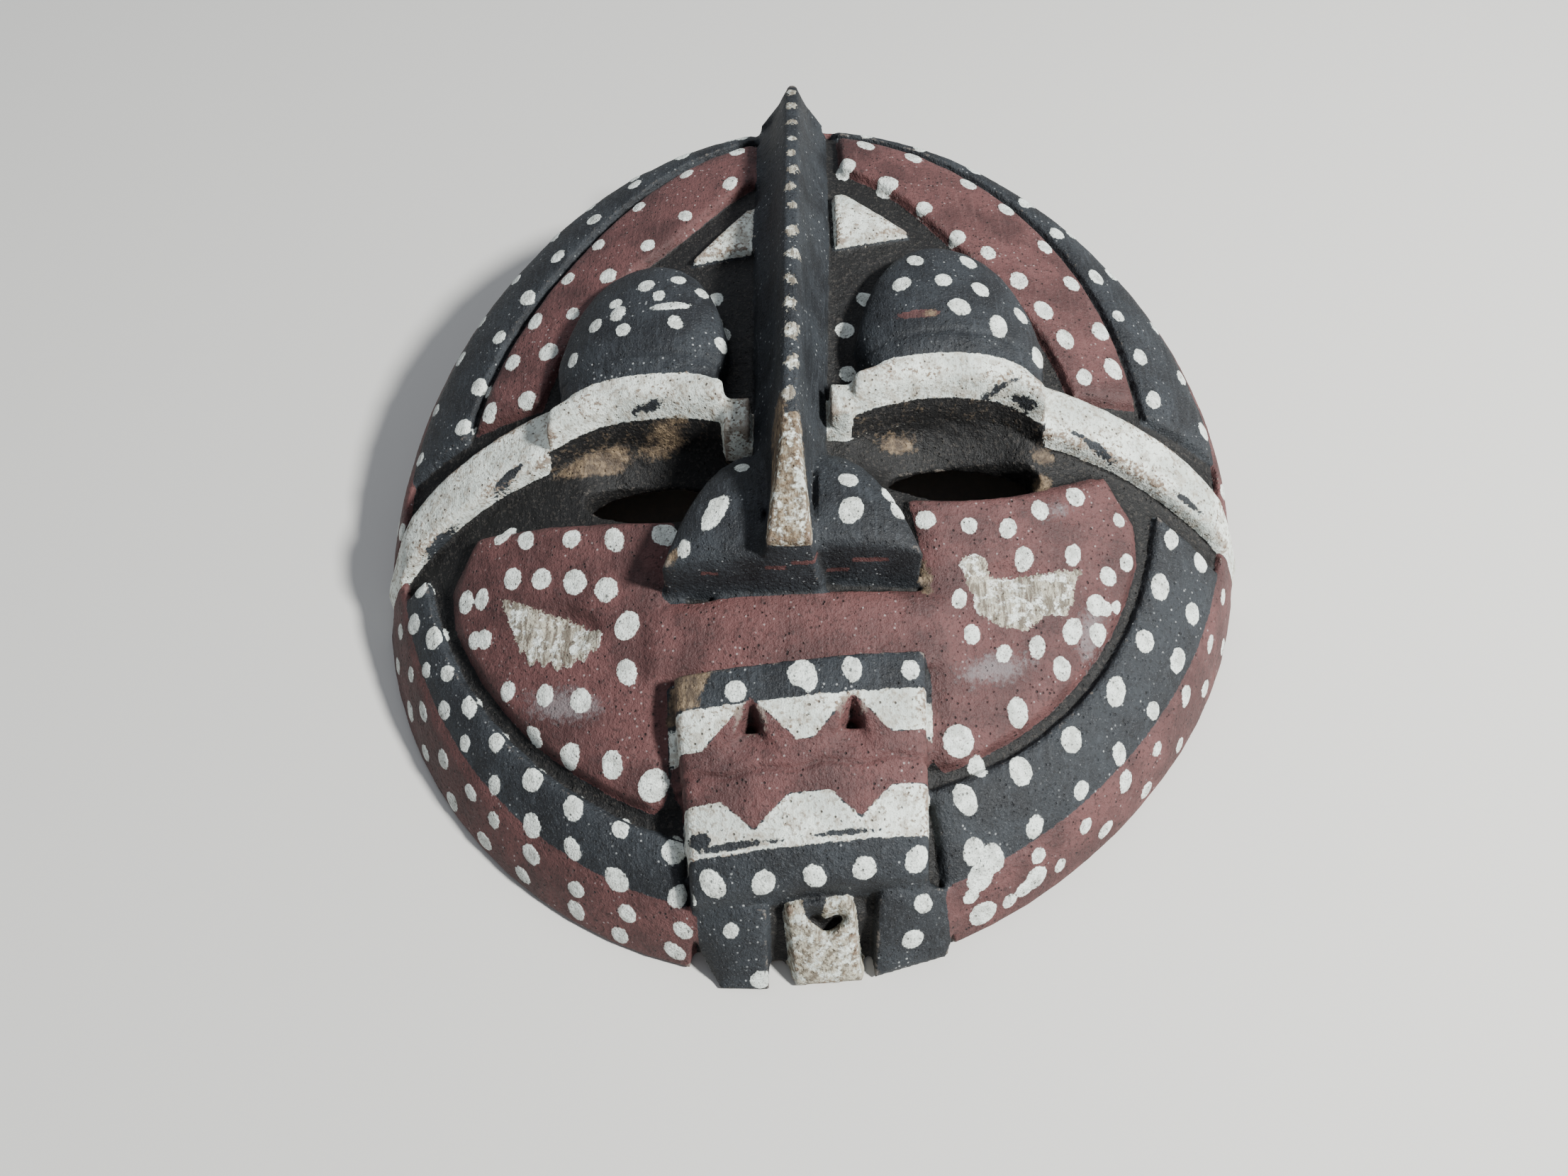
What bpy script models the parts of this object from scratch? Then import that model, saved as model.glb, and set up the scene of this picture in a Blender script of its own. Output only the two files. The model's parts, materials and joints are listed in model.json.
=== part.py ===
"""Carved wooden mask, lying on its flat back rim: +Z out of the face, +Y towards the crest, metres.

The real mask is cut from one block. Here it is divided along its own carved edges into named parts.
"""

import math

import bmesh
import bpy
from mathutils import Vector

for old in list(bpy.data.objects):
    bpy.data.objects.remove(old, do_unlink=True)

MASK = bpy.data.collections.new("mask")
CUTTERS = bpy.data.collections.new("cutters")
for group in (MASK, CUTTERS):
    bpy.context.scene.collection.children.link(group)

# Driving dimensions. Every length below is in millimetres; MM turns it into metres where a mesh is made.
MM = 0.001
GAP = 0.3
HALF_GAP = GAP / 2
UNDERCUT = 0.45
RELIEF = 3.0
EASE = 0.7

# Outline at the foot: a mean radius with the hand-carved departures from a circle.
RIM_RADIUS = 101.6
RIM_WIDER_RIGHT = 1.1
RIM_HIGHER_TOP = 1.9
RIM_OVAL = 2.2
RIM_SKEW = 2.1
RIM_THREE = 1.1
RIM_FOUR = 0.8

# Side view: the outer edge of the face is low at the chin and climbs to the forehead.
EDGE = 0.925
EDGE_LOW = 13.0
EDGE_CLIMB = 35.0
CLIMB_FROM = -60.0
CLIMB_TO = 104.0
CLIMB_POWER = 1.6
BULGE = 26.0
BULGE_POWER = 0.8

# Hollow back.
SHELL_CORNER_BACK = 0.4
WALL_FOOT = 12.0
WALL_FACE = 8.0
STRIP_FOOT = 3.2

# Crest and nose.
CREST_X = -4.0
CREST_TOP_X = -3.0
CREST_TIP_Y = 102.5
NOSE_TIP_Y = -36.6
CREST_HIGH = 65.5
CREST_HIGH_Y = 18.0
CREST_DROP_TOP = 8.8
CREST_DROP_NOSE = 11.0
CREST_HALF = 1.8
CREST_FOOT = 8.0
CREST_STEP_Y = 97.6
CREST_OVER_STRIP = 1.0
CREST_END_RISE = 6.0
CREST_NARROW = 0.85
NOSE_TOP_Y = -8.0
NOSE_WING = 16.5
NOSE_LIP = 10.0

STEPS_ROUND = 72
CHIP_ABOVE = 14.0


def rim_radius(phi):
    radius = RIM_RADIUS + RIM_WIDER_RIGHT * math.cos(phi) + RIM_HIGHER_TOP * math.sin(phi)
    radius += RIM_SKEW * math.sin(2 * phi) - RIM_OVAL * math.cos(2 * phi)
    return radius + RIM_THREE * math.cos(3 * phi) + RIM_FOUR * math.cos(4 * phi)


def edge_height(y):
    climb = max(0.0, (y - CLIMB_FROM) / (CLIMB_TO - CLIMB_FROM))
    return EDGE_LOW + EDGE_CLIMB * climb**CLIMB_POWER


def polar(radius, degrees):
    phi = math.radians(degrees)
    return radius * math.cos(phi), radius * math.sin(phi)


def face(x, y):
    """Height of the carved face at a plan point: an edge that climbs, plus a dome inside it."""
    phi = math.atan2(y, x)
    rho = math.hypot(x, y) / rim_radius(phi)
    inside = max(0.0, 1.0 - (rho / EDGE) ** 2)
    return edge_height(y) + BULGE * inside**BULGE_POWER


def ground(x, y):
    """Height of the shell under the raised parts: the face less the relief, then down to the foot."""
    phi = math.atan2(y, x)
    rim = rim_radius(phi)
    corner = EDGE * rim
    radius = math.hypot(x, y)
    if radius <= corner:
        return face(x, y) - RELIEF
    top = edge_height(corner * math.sin(phi)) - RELIEF
    share = (rim - STRIP_FOOT - radius) / (rim - STRIP_FOOT - corner)
    return max(0.0, top * share)


def under(x, y):
    return ground(x, y) + UNDERCUT


def lerp(a, b, t):
    return a + (b - a) * t


def spread(count, margin):
    """Stations from 0 to 1 with one close to each end, where an edge is eased."""
    inner = [margin + (1 - 2 * margin) * i / (count - 3) for i in range(count - 2)]
    return [0.0] + inner + [1.0]


def material(name, colour):
    made = bpy.data.materials.new(name)
    made.use_nodes = True
    shader = made.node_tree.nodes["Principled BSDF"]
    shader.inputs["Base Color"].default_value = (*colour, 1.0)
    shader.inputs["Roughness"].default_value = 0.85
    made.diffuse_color = (*colour, 1.0)
    return made


PAINTS = {
    "black": (0.030, 0.034, 0.040),
    "red": (0.155, 0.060, 0.055),
    "white": (0.620, 0.620, 0.590),
    "wood": (0.300, 0.160, 0.090),
}


def add(name, mesh, paint):
    made = bpy.data.objects.new(name, mesh)
    mesh.materials.append(material(name + "_" + paint, PAINTS[paint]))
    MASK.objects.link(made)
    return made


def close(bm, name):
    """Mesh of a closed body, with its faces turned outwards."""
    bmesh.ops.recalc_face_normals(bm, faces=bm.faces)
    if bm.calc_volume(signed=True) < 0:
        bmesh.ops.reverse_faces(bm, faces=bm.faces)
    mesh = bpy.data.meshes.new(name)
    bm.to_mesh(mesh)
    bm.free()
    return mesh


def patch(name, paint, place, us, vs, top, bottom=under):
    """Closed solid over a four-sided plan region. place(u, v) is the plan point; top takes x, y, u, v."""
    bm = bmesh.new()
    upper = []
    lower = []
    for u in us:
        plan = [place(u, v) for v in vs]
        upper.append([bm.verts.new((x * MM, y * MM, top(x, y, u, v) * MM)) for (x, y), v in zip(plan, vs)])
        lower.append([bm.verts.new((x * MM, y * MM, bottom(x, y) * MM)) for x, y in plan])
    last_u = len(us) - 1
    last_v = len(vs) - 1
    for i in range(last_u):
        for j in range(last_v):
            bm.faces.new((upper[i][j], upper[i + 1][j], upper[i + 1][j + 1], upper[i][j + 1]))
            bm.faces.new((lower[i][j], lower[i][j + 1], lower[i + 1][j + 1], lower[i + 1][j]))
        for j in (0, last_v):
            bm.faces.new((upper[i][j], lower[i][j], lower[i + 1][j], upper[i + 1][j]))
    for j in range(last_v):
        for i in (0, last_u):
            bm.faces.new((upper[i][j], upper[i][j + 1], lower[i][j + 1], lower[i][j]))
    return add(name, close(bm, name), paint)


def loft(name, paint, sections):
    """Closed tube through equal rings of points, capped at both ends."""
    bm = bmesh.new()
    rings = [[bm.verts.new([c * MM for c in point]) for point in section] for section in sections]
    count = len(rings[0])
    for first, second in zip(rings, rings[1:]):
        for k in range(count):
            n = (k + 1) % count
            bm.faces.new((first[k], first[n], second[n], second[k]))
    bm.faces.new(rings[0])
    bm.faces.new(rings[-1])
    return add(name, close(bm, name), paint)


def eased(height, ease=EASE, ends=True):
    """Top surface at a height above the face, with its border lowered so that the edge is not sharp."""

    def top(x, y, u, v):
        border = v in (0.0, 1.0) or (ends and u in (0.0, 1.0))
        return face(x, y) + height - (ease if border else 0.0)

    return top


def cut(body, cutter, operation="DIFFERENCE"):
    modifier = body.modifiers.new(cutter.name, "BOOLEAN")
    modifier.operation = operation
    modifier.solver = "EXACT"
    modifier.object = cutter
    bpy.context.view_layer.update()
    mesh = bpy.data.meshes.new_from_object(body.evaluated_get(bpy.context.evaluated_depsgraph_get()))
    body.modifiers.clear()
    body.data = mesh
    bm = bmesh.new()
    bm.from_mesh(mesh)
    if bm.calc_volume(signed=True) < 0:
        bmesh.ops.reverse_faces(bm, faces=bm.faces)
        bm.to_mesh(mesh)
    bm.free()


def cutter_from(name, bm):
    made = bpy.data.objects.new(name, close(bm, name))
    made.hide_render = True
    made.display_type = "WIRE"
    CUTTERS.objects.link(made)
    return made


def ellipsoid(name, centre, radii, turn=0.0, segments=24, rings=12):
    bm = bmesh.new()
    bmesh.ops.create_uvsphere(bm, u_segments=segments, v_segments=rings, radius=1.0)
    cos_t = math.cos(math.radians(turn))
    sin_t = math.sin(math.radians(turn))
    for vert in bm.verts:
        x, y, z = (c * r for c, r in zip(vert.co, radii))
        vert.co = Vector((centre[0] + x * cos_t - y * sin_t, centre[1] + x * sin_t + y * cos_t, centre[2] + z)) * MM
    return cutter_from(name, bm)


def prism(name, outline, low, high):
    """Straight cutter: a plan outline between two heights."""
    bm = bmesh.new()
    bottom = [bm.verts.new((x * MM, y * MM, low * MM)) for x, y in outline]
    top = [bm.verts.new((x * MM, y * MM, high * MM)) for x, y in outline]
    bm.faces.new(bottom)
    bm.faces.new(top)
    for k in range(len(outline)):
        n = (k + 1) % len(outline)
        bm.faces.new((bottom[k], bottom[n], top[n], top[k]))
    return cutter_from(name, bm)


def chip(name, tip, half_width, length, tip_height, base_height):
    """Three-sided chip cut: deep at its tip, running out to the surface at its base. Heights are over the face."""
    bm = bmesh.new()
    corners = [tip, (tip[0] - half_width, tip[1] - length), (tip[0] + half_width, tip[1] - length)]
    heights = [tip_height, base_height, base_height]
    low = [bm.verts.new((x * MM, y * MM, (face(x, y) + h) * MM)) for (x, y), h in zip(corners, heights)]
    high = [bm.verts.new((x * MM, y * MM, (face(x, y) + CHIP_ABOVE) * MM)) for x, y in corners]
    bm.faces.new(low)
    bm.faces.new(high)
    for k in range(3):
        n = (k + 1) % 3
        bm.faces.new((low[k], low[n], high[n], high[k]))
    return cutter_from(name, bm)


def ellipse(centre, radii, turn, count=20):
    points = []
    for k in range(count):
        angle = 2 * math.pi * k / count
        x = radii[0] * math.cos(angle)
        y = radii[1] * math.sin(angle)
        cos_t = math.cos(math.radians(turn))
        sin_t = math.sin(math.radians(turn))
        points.append((centre[0] + x * cos_t - y * sin_t, centre[1] + x * sin_t + y * cos_t))
    return points


# Shell: rings of the outer ground, then the flat back rim, then the hollow.
SHELL_LEVELS = (0.1, 0.22, 0.34, 0.46, 0.57, 0.67, 0.76, 0.84, 0.9)
HOLLOW_LEVELS = (0.97, 0.88, 0.74, 0.56, 0.36, 0.16)


def hollow(x, y):
    return face(x, y) - RELIEF - WALL_FACE


def shell():
    bm = bmesh.new()
    angles = [360.0 * k / STEPS_ROUND for k in range(STEPS_ROUND)]

    def ring(radius_of, height_of):
        made = []
        for degrees in angles:
            x, y = polar(radius_of(math.radians(degrees)), degrees)
            made.append(bm.verts.new((x * MM, y * MM, height_of(x, y) * MM)))
        return made

    rings = [ring(lambda phi, s=s: s * rim_radius(phi), ground) for s in SHELL_LEVELS]
    rings.append(ring(lambda phi: EDGE * rim_radius(phi) - SHELL_CORNER_BACK, ground))
    rings.append(ring(lambda phi: rim_radius(phi) - STRIP_FOOT, lambda x, y: 0.0))
    rings.append(ring(lambda phi: rim_radius(phi) - WALL_FOOT, lambda x, y: 0.0))
    for s in HOLLOW_LEVELS:
        rings.append(ring(lambda phi, s=s: s * (rim_radius(phi) - WALL_FOOT), hollow))
    for first, second in zip(rings, rings[1:]):
        for k in range(STEPS_ROUND):
            n = (k + 1) % STEPS_ROUND
            bm.faces.new((first[k], first[n], second[n], second[k]))
    for hub, height in ((rings[0], ground(0, 0)), (rings[-1], hollow(0, 0))):
        centre = bm.verts.new((0, 0, height * MM))
        for k in range(STEPS_ROUND):
            bm.faces.new((hub[k], hub[(k + 1) % STEPS_ROUND], centre))
    return add("shell", close(bm, "shell"), "wood")


def crest_x(y):
    share = (y - NOSE_TIP_Y) / (CREST_TIP_Y - NOSE_TIP_Y)
    return lerp(CREST_X, CREST_TOP_X, share)


def crest_height(y):
    if y > CREST_HIGH_Y:
        share = (y - CREST_HIGH_Y) / (CREST_TIP_Y - CREST_HIGH_Y)
        return CREST_HIGH - CREST_DROP_TOP * share**2
    share = (CREST_HIGH_Y - y) / (CREST_HIGH_Y - NOSE_TIP_Y)
    return CREST_HIGH - CREST_DROP_NOSE * share**2.2


def crest_half(y):
    """Half the width of the worn top edge: a narrow ridge that widens over the end of the nose."""
    nose = max(0.0, (-18.0 - y) / (-18.0 - NOSE_TIP_Y))
    return CREST_HALF + 2.6 * nose


def crest_foot(y):
    """Half the width of the crest at the face."""
    return CREST_FOOT - 1.2 * max(0.0, min(1.0, (45.0 - y) / 60.0))


def crest_base(y):
    """Underside of the crest: on the shell, then stepping up to pass over the top of the side strip."""
    x = crest_x(y)
    if y < CREST_STEP_Y:
        return under(x, y)
    return edge_height(min(y, CREST_STEP_Y)) + CREST_OVER_STRIP


def crest_section(y, narrow=0.0):
    x = crest_x(y)
    top = crest_height(y)
    base = crest_base(y) + CREST_END_RISE * narrow
    half = crest_half(y) * (1.0 - 0.4 * narrow)
    foot = lerp(crest_foot(y), half + 0.2, narrow)
    rise = top - base
    left = [
        (x - foot, y, base),
        (x - foot, y, base + 0.12 * rise),
        (x - lerp(foot, half, 0.52), y, base + 0.38 * rise),
        (x - lerp(foot, half, 0.86), y, base + 0.74 * rise),
        (x - half, y, top - 0.6),
        (x - half + 0.6, y, top),
    ]
    right = [(2 * x - px, py, pz) for px, py, pz in reversed(left)]
    return left + right


def crest():
    count = 21
    ys = [lerp(NOSE_TIP_Y, CREST_STEP_Y - 0.3, k / (count - 1)) for k in range(count)]
    sections = [crest_section(y) for y in ys]
    for share in (0.0, 0.35, 0.7, 1.0):
        sections.append(crest_section(lerp(CREST_STEP_Y, CREST_TIP_Y, share), CREST_NARROW * share))
    return loft("crest", "black", sections)


def band_arc(name, paint, inner, outer, start, end, count, across=4, height=0.0, **kw):
    """Raised band between two radii given as functions of the angle. Each end is an inner and an outer angle."""

    def place(u, v):
        degrees = lerp(lerp(*start, v), lerp(*end, v), u)
        return polar(lerp(inner(degrees), outer(degrees), v), degrees)

    middle = (start[0] + end[0]) / 2
    length = math.radians(abs(end[0] - start[0])) * outer(middle)
    width = outer(middle) - inner(middle)
    return patch(
        name,
        paint,
        place,
        spread(count, 0.9 / length),
        spread(across + 1, 0.9 / width),
        eased(height, **kw),
    )


def band_outer(degrees):
    return EDGE * rim_radius(math.radians(degrees)) - HALF_GAP


CRESCENT_SIDE = 75.0
CRESCENT_RISE = {"right": 19.0, "left": 17.0}
CRESCENT_POWER = {"right": 2, "left": 6}
CRESCENT_IN_SIDE = 60.5
CRESCENT_IN_RISE = {"right": 19.0, "left": 16.5}
CRESCENT_IN_POWER = {"right": 10, "left": 16}
GROOVE = 2.2
CHEEK_GROOVE = {"right": 3.4, "left": 4.0}
CHEEK_RADIUS = {"right": 73.5, "left": 82.0}


def crescent_outer(side):
    def radius(degrees):
        return CRESCENT_SIDE + CRESCENT_RISE[side] * abs(math.sin(math.radians(degrees))) ** CRESCENT_POWER[side]

    return radius


def crescent_inner(side):
    def radius(degrees):
        swell = abs(math.sin(math.radians(degrees))) ** CRESCENT_IN_POWER[side]
        return CRESCENT_IN_SIDE + CRESCENT_IN_RISE[side] * swell

    return radius


def cheek_outer(side):
    def radius(degrees):
        return CHEEK_RADIUS[side]

    return radius


def plus(radius_of, extra):
    return lambda degrees: radius_of(degrees) + extra


BAR_TIP = {"right": (99.8, -12.0), "left": (-94.6, -20.2)}
BAR_ROOT = {"right": (52.4, 6.0), "left": (-57.8, 0.4)}
BAR_END_X = {"right": 51.0, "left": -55.5}
BAR_BEND = 3.4
BAR_HALF = 5.5
BAR_TIP_HALF = 3.4
BAR_RAISE = 2.6
BAR_FALL = 2.0
BAR_LIFT = 1.75


def side_bar(side):
    root = BAR_ROOT[side]
    tip = BAR_TIP[side]
    along = Vector((tip[0] - root[0], tip[1] - root[1]))
    length = along.length
    along.normalize()
    across = Vector((-along.y, along.x)) * (1 if side == "right" else -1)

    def place(u, v):
        half = lerp(BAR_HALF, BAR_TIP_HALF, max(0.0, (u - 0.62) / 0.38) ** 1.4)
        bend = BAR_BEND * 4 * u * (1 - u)
        reach = (2 * v - 1) * half + bend
        # The root end is cut square to X, so that it lies along the end of the brow bar.
        start = (BAR_END_X[side] - root[0] - across.x * (2 * v - 1) * BAR_HALF) / along.x
        distance = lerp(start, length, u)
        x = root[0] + along.x * distance + across.x * reach
        y = root[1] + along.y * distance + across.y * reach
        return x, y

    def top(x, y, u, v):
        over = math.hypot(x, y) - EDGE * rim_radius(math.atan2(y, x))
        height = face(x, y) - max(0.0, over) * BAR_FALL
        border = v in (0.0, 1.0) or u in (0.0, 1.0)
        return height + BAR_RAISE - (EASE if border else 0.0)

    def bottom(x, y):
        return under(x, y) + BAR_LIFT

    us = [0.0, 0.02] + [0.13 * k for k in range(1, 6)] + [0.75, 0.83, 0.9, 0.95, 0.985, 1.0]
    return patch("side_bar_" + side, "white", place, us, spread(5, 0.08), top, bottom)


BROW = {"right": (31.6, 21.4, 40.2), "left": (-36.0, 19.5, 35.5)}
BROW_RAISE = {"right": 9.0, "left": 8.6}
BROW_FOOT_Y = 8.0
BROW_SQUARE = 0.92
BAR_DEPTH = 4.2
BAR_SAG = 7.5
BAR_SAG_OUT = 0.6
BAR_LINE = {"right": (38.0, 5.2, 9.5, 50.4), "left": (-38.0, 0.2, -17.8, -55.0)}
BAR_SAG_IN = {"right": 0.85, "left": 0.3}


def brow_front(side, x):
    """Front foot of the brow bar: an arch with its top over the outer half of the eye."""
    apex, high, inner, outer = BAR_LINE[side]
    reach = inner - apex if abs(x) < abs(apex) else outer - apex
    sag = BAR_SAG_IN[side] if abs(x) < abs(apex) else BAR_SAG_OUT
    return high - BAR_SAG * sag * min(1.0, abs((x - apex) / reach)) ** 2.2


def brow_bar(side):
    apex, high, inner, outer = BAR_LINE[side]

    def place(u, v):
        x = lerp(inner, outer, u)
        return x, brow_front(side, x) + BAR_SHIFTS[VS_BAR.index(v)]

    def top(x, y, u, v):
        lift = BAR_LIFTS[VS_BAR.index(v)]
        end = 0.8 if u in (0.0, 1.0) else 0.0
        return face(x, y) + lift - (end if lift > 0 else 0.0)

    return patch("brow_bar_" + side, "white", place, spread(14, 0.025), VS_BAR, top)


# Across the brow bar from its front foot: how far back, and how high over the face.
VS_BAR = (0.0, 0.3, 0.45, 0.85, 1.0)
BAR_SHIFTS = (0.0, 2.2, 3.0, BAR_DEPTH + 2.4, BAR_DEPTH + 3.0)
BAR_LIFTS = (-0.6, 7.4, 8.3, 8.4, 7.4)


def brow_dome(side):
    centre, half, length = BROW[side]
    sign = 1 if side == "right" else -1

    def foot(x):
        return brow_front(side, x) + BAR_SHIFTS[-1] + GAP

    def place(u, v):
        angle = math.radians(lerp(14.0, 166.0, u))
        far_x = centre + sign * half * math.cos(angle)
        far_y = BROW_FOOT_Y + length * math.sin(angle) ** BROW_SQUARE
        near_x = centre + sign * (half - 3.0) * math.cos(angle)
        return lerp(near_x, far_x, v), lerp(foot(near_x), far_y, v)

    def top(x, y, u, v):
        across = abs((x - centre) / (half + 0.8))
        along = max(0.0, (y - BROW_FOOT_Y) / (length + 0.8))
        swell = max(0.0, 1.0 - across**2.3 - along**2.1) ** 0.62
        border = 0.5 if v in (0.0, 1.0) or u in (0.0, 1.0) else 0.0
        return face(x, y) + 0.6 + BROW_RAISE[side] * swell - border

    return patch("brow_dome_" + side, "black", place, spread(15, 0.03), (0.0, 0.04, 0.25, 0.5, 0.72, 0.88, 0.97, 1.0), top)


def bar_end(side, left, right, front, depth, raised):
    def place(u, v):
        return lerp(left, right, u), lerp(front, front + depth, v)

    return patch("bar_end_" + side, "white", place, spread(4, 0.15), spread(4, 0.12), eased(raised, 0.5))


def triangle(side, corners):
    def place(u, v):
        near = [lerp(corners[0][k], corners[1][k], u) for k in (0, 1)]
        far = [lerp(corners[0][k], corners[2][k], u) for k in (0, 1)]
        return lerp(near[0], far[0], v), lerp(near[1], far[1], v)

    us = (0.12, 0.17, 0.45, 0.73, 0.96, 1.0)
    vs = spread(5, 0.06)

    def top(x, y, u, v):
        border = v in (0.0, 1.0) or u in (us[0], us[-1])
        return face(x, y) - 0.2 - (0.5 if border else 0.0)

    return patch("triangle_" + side, "white", place, us, vs, top)


def nose_outline(side, y):
    share = max(0.0, (NOSE_TOP_Y - y) / (NOSE_TOP_Y - NOSE_TIP_Y))
    reach = 8.6 + NOSE_WING * share**0.58
    return crest_x(y) - reach if side == "left" else crest_x(y) + reach + 2.6 * share


def nose_wing(side):
    sign = -1 if side == "left" else 1

    def place(u, v):
        y = lerp(NOSE_TOP_Y - 0.6, NOSE_TIP_Y + (0.4 if side == "left" else 3.0), u)
        inner = crest_x(y) + sign * (crest_foot(y) + GAP)
        return lerp(inner, nose_outline(side, y), v), y

    def top(x, y, u, v):
        swell = math.sin(math.pi / 2 * min(1.0, u * 1.15)) ** 0.8
        shoulder = max(0.0, 1.0 - max(0.0, v - 0.35) ** 2.2 * 1.1)
        drop = 1.6 if v == 1.0 else (0.8 if u in (0.0, 1.0) else 0.0)
        return face(x, y) + 0.8 + NOSE_LIP * swell * lerp(0.72, 1.0, shoulder) - drop

    return patch("nose_wing_" + side, "black", place, spread(10, 0.03), spread(7, 0.05), top)


CHEEK_IN_X = {"right": 25.6, "left": -29.6}
CHEEK_SPAN = {"right": (-4.6, -69.0), "left": (-166.5, -111.5)}
CHEEK_TOP_Y = {"right": -16.2, "left": -20.6}
CHEEK_END_Y = {"right": -66.5, "left": -75.0}
CHEEK_TO_NOSE = {"right": 3.0, "left": 0.0}
CHEEK_SAG = {"right": 2.6, "left": 0.0}
CHEEK_SAG_END = 0.3


def cheek(side):
    start, end = CHEEK_SPAN[side]

    def place(u, v):
        outer = polar(CHEEK_RADIUS[side] - 9.0 * max(0.0, 0.14 - u) / 0.14, lerp(start, end, u))
        near_top = max(0.0, 1.0 - u / CHEEK_SAG_END)
        inner_x = CHEEK_IN_X[side] - CHEEK_TO_NOSE[side] * near_top
        inner = (inner_x, lerp(CHEEK_TOP_Y[side], CHEEK_END_Y[side], u))
        sag = CHEEK_SAG[side] * near_top * 4.0 * v * (1.0 - v)
        return lerp(inner[0], outer[0], v), lerp(inner[1], outer[1], v) - sag

    return patch("cheek_" + side, "red", place, spread(13, 0.016), spread(11, 0.025), eased(0.0, 0.9))


def strip_section(foot_degrees, top_degrees):
    """Section of the red side strip. The ends of the strip lean, so its foot and its top have angles of their own."""
    rim = rim_radius(math.radians(foot_degrees))
    edge = EDGE * rim_radius(math.radians(top_degrees)) + HALF_GAP
    top = edge_height(edge * math.sin(math.radians(top_degrees)))

    def at(radius, height, share):
        return (*polar(radius, lerp(foot_degrees, top_degrees, share)), height)

    return [
        at(rim - STRIP_FOOT + 0.4, 0.0, 0.0),
        at(rim - 0.4, 0.0, 0.0),
        at(rim, 0.8, 0.05),
        at(lerp(rim, edge, 0.45) + 0.7, 0.5 * top, 0.45),
        at(lerp(rim, edge, 0.86) + 0.5, 0.9 * top, 0.86),
        at(edge + 0.1, top - 0.3, 1.0),
        at(edge, top - 1.0, 1.0),
        at(edge, top - RELIEF + 0.3, 1.0),
    ]


def strip(name, start, end, count):
    """Side strip between two ends, each given as the angle of its foot and the angle of its top."""
    pairs = [(lerp(start[0], end[0], k / count), lerp(start[1], end[1], k / count)) for k in range(count + 1)]
    return loft(name, "red", [strip_section(*pair) for pair in pairs])


CHIN_OUTSIDE = 2.4
CHIN_UNDERCUT = 1.05
MOUTH_LEFT = (-26.2, -22.0)
MOUTH_RIGHT = 22.2
MOUTH_TOP = -52.4
MOUTH_END = -92.2
MOUTH_TILT = 0.105


def mouth_part(name, paint, upper, lower, raised, rows, ends=(0.0, 0.0)):
    """One cross strip of the mouth block, between two distances down from its top edge."""

    def place(u, v):
        y = MOUTH_TOP - lerp(upper, lower, v)
        share = (MOUTH_TOP - y) / (MOUTH_TOP - MOUTH_END)
        x = lerp(lerp(*MOUTH_LEFT, share), MOUTH_RIGHT, u)
        return x, y + MOUTH_TILT * x

    def top(x, y, u, v):
        border = u in (0.0, 1.0)
        dip = lerp(ends[0], ends[1], v)
        return face(x, y) + raised + dip - (0.8 if border else 0.0) - (0.45 if v in (0.0, 1.0) else 0.0)

    return patch(name, paint, place, spread(11, 0.02), spread(rows, 0.08), top)


def chin_under(x, y):
    """Underside of the chin parts: over the shell, then down to the table outside its foot."""
    if math.hypot(x, y) > rim_radius(math.atan2(y, x)) - CHIN_OUTSIDE:
        return 0.0
    return ground(x, y) + CHIN_UNDERCUT


def chin_part(name, paint, left, right, back, front, raised):
    def place(u, v):
        near = lerp(back[0], back[1], u)
        far = lerp(front[0], front[1], u)
        return lerp(lerp(*left, v), lerp(*right, v), u), lerp(near, far, v)

    def top(x, y, u, v):
        rim = rim_radius(math.atan2(y, x))
        edge = EDGE * rim
        over = max(0.0, math.hypot(x, y) - edge) / (rim + 1.5 - edge)
        height = face(x, y) * (1.0 - over) + raised + 0.4
        border = u in (0.0, 1.0)
        return max(height, 1.2) - (0.5 if border else 0.0)

    return patch(name, paint, place, spread(6, 0.09), (0.0, 0.08, 0.3, 0.5, 0.72, 0.92, 1.0), top, chin_under)


# Eyes: middle of the socket, middle of the slit through it, and the turn of both in degrees.
EYES = {"right": ((31.0, -4.9), (33.4, -8.2), 5.0), "left": ((-33.0, -9.1), (-30.8, -13.0), -4.0)}
SLIT = (17.0, 6.3)
SLIT_HEIGHTS = (5.0, 60.0)
SOCKET = (24.0, 11.0, 13.0)
SOCKET_LIFT = 3.5


def eye(body, side):
    middle, slit, turn = EYES[side]
    cut(body, ellipsoid("socket_" + side, (*middle, face(*middle) + SOCKET_LIFT), SOCKET, turn))
    cut(body, prism("slit_" + side, ellipse(slit, SLIT, turn), *SLIT_HEIGHTS))


body = shell()
for side in EYES:
    eye(body, side)

crest()
CHEEKS = {}
for side in ("left", "right"):
    nose_wing(side)
    brow_bar(side)
    brow_dome(side)
    side_bar(side)
    CHEEKS[side] = cheek(side)

CRESCENT_ENDS = {"right": ((12.5, 12.0), (83.4, 84.6)), "left": ((168.5, 172.0), (99.2, 97.9))}
UPPER_ENDS = {"right": ((9.5, 5.6), (84.9, 85.6)), "left": ((173.5, 177.6), (97.5, 97.2))}
LOWER_ENDS = {"right": ((-8.2, -11.6), (-72.2, -73.6)), "left": ((-164.5, -164.0), (-106.6, -104.6))}
for side in ("left", "right"):
    outer = crescent_outer(side)
    band_arc("crescent_" + side, "red", crescent_inner(side), outer, *CRESCENT_ENDS[side], 15, 5)
    band_arc("band_upper_" + side, "black", plus(outer, GROOVE), band_outer, *UPPER_ENDS[side], 16, 4)
    low_inner = plus(cheek_outer(side), CHEEK_GROOVE[side])
    band_arc("band_lower_" + side, "black", low_inner, band_outer, *LOWER_ENDS[side], 13, 4)

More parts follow.
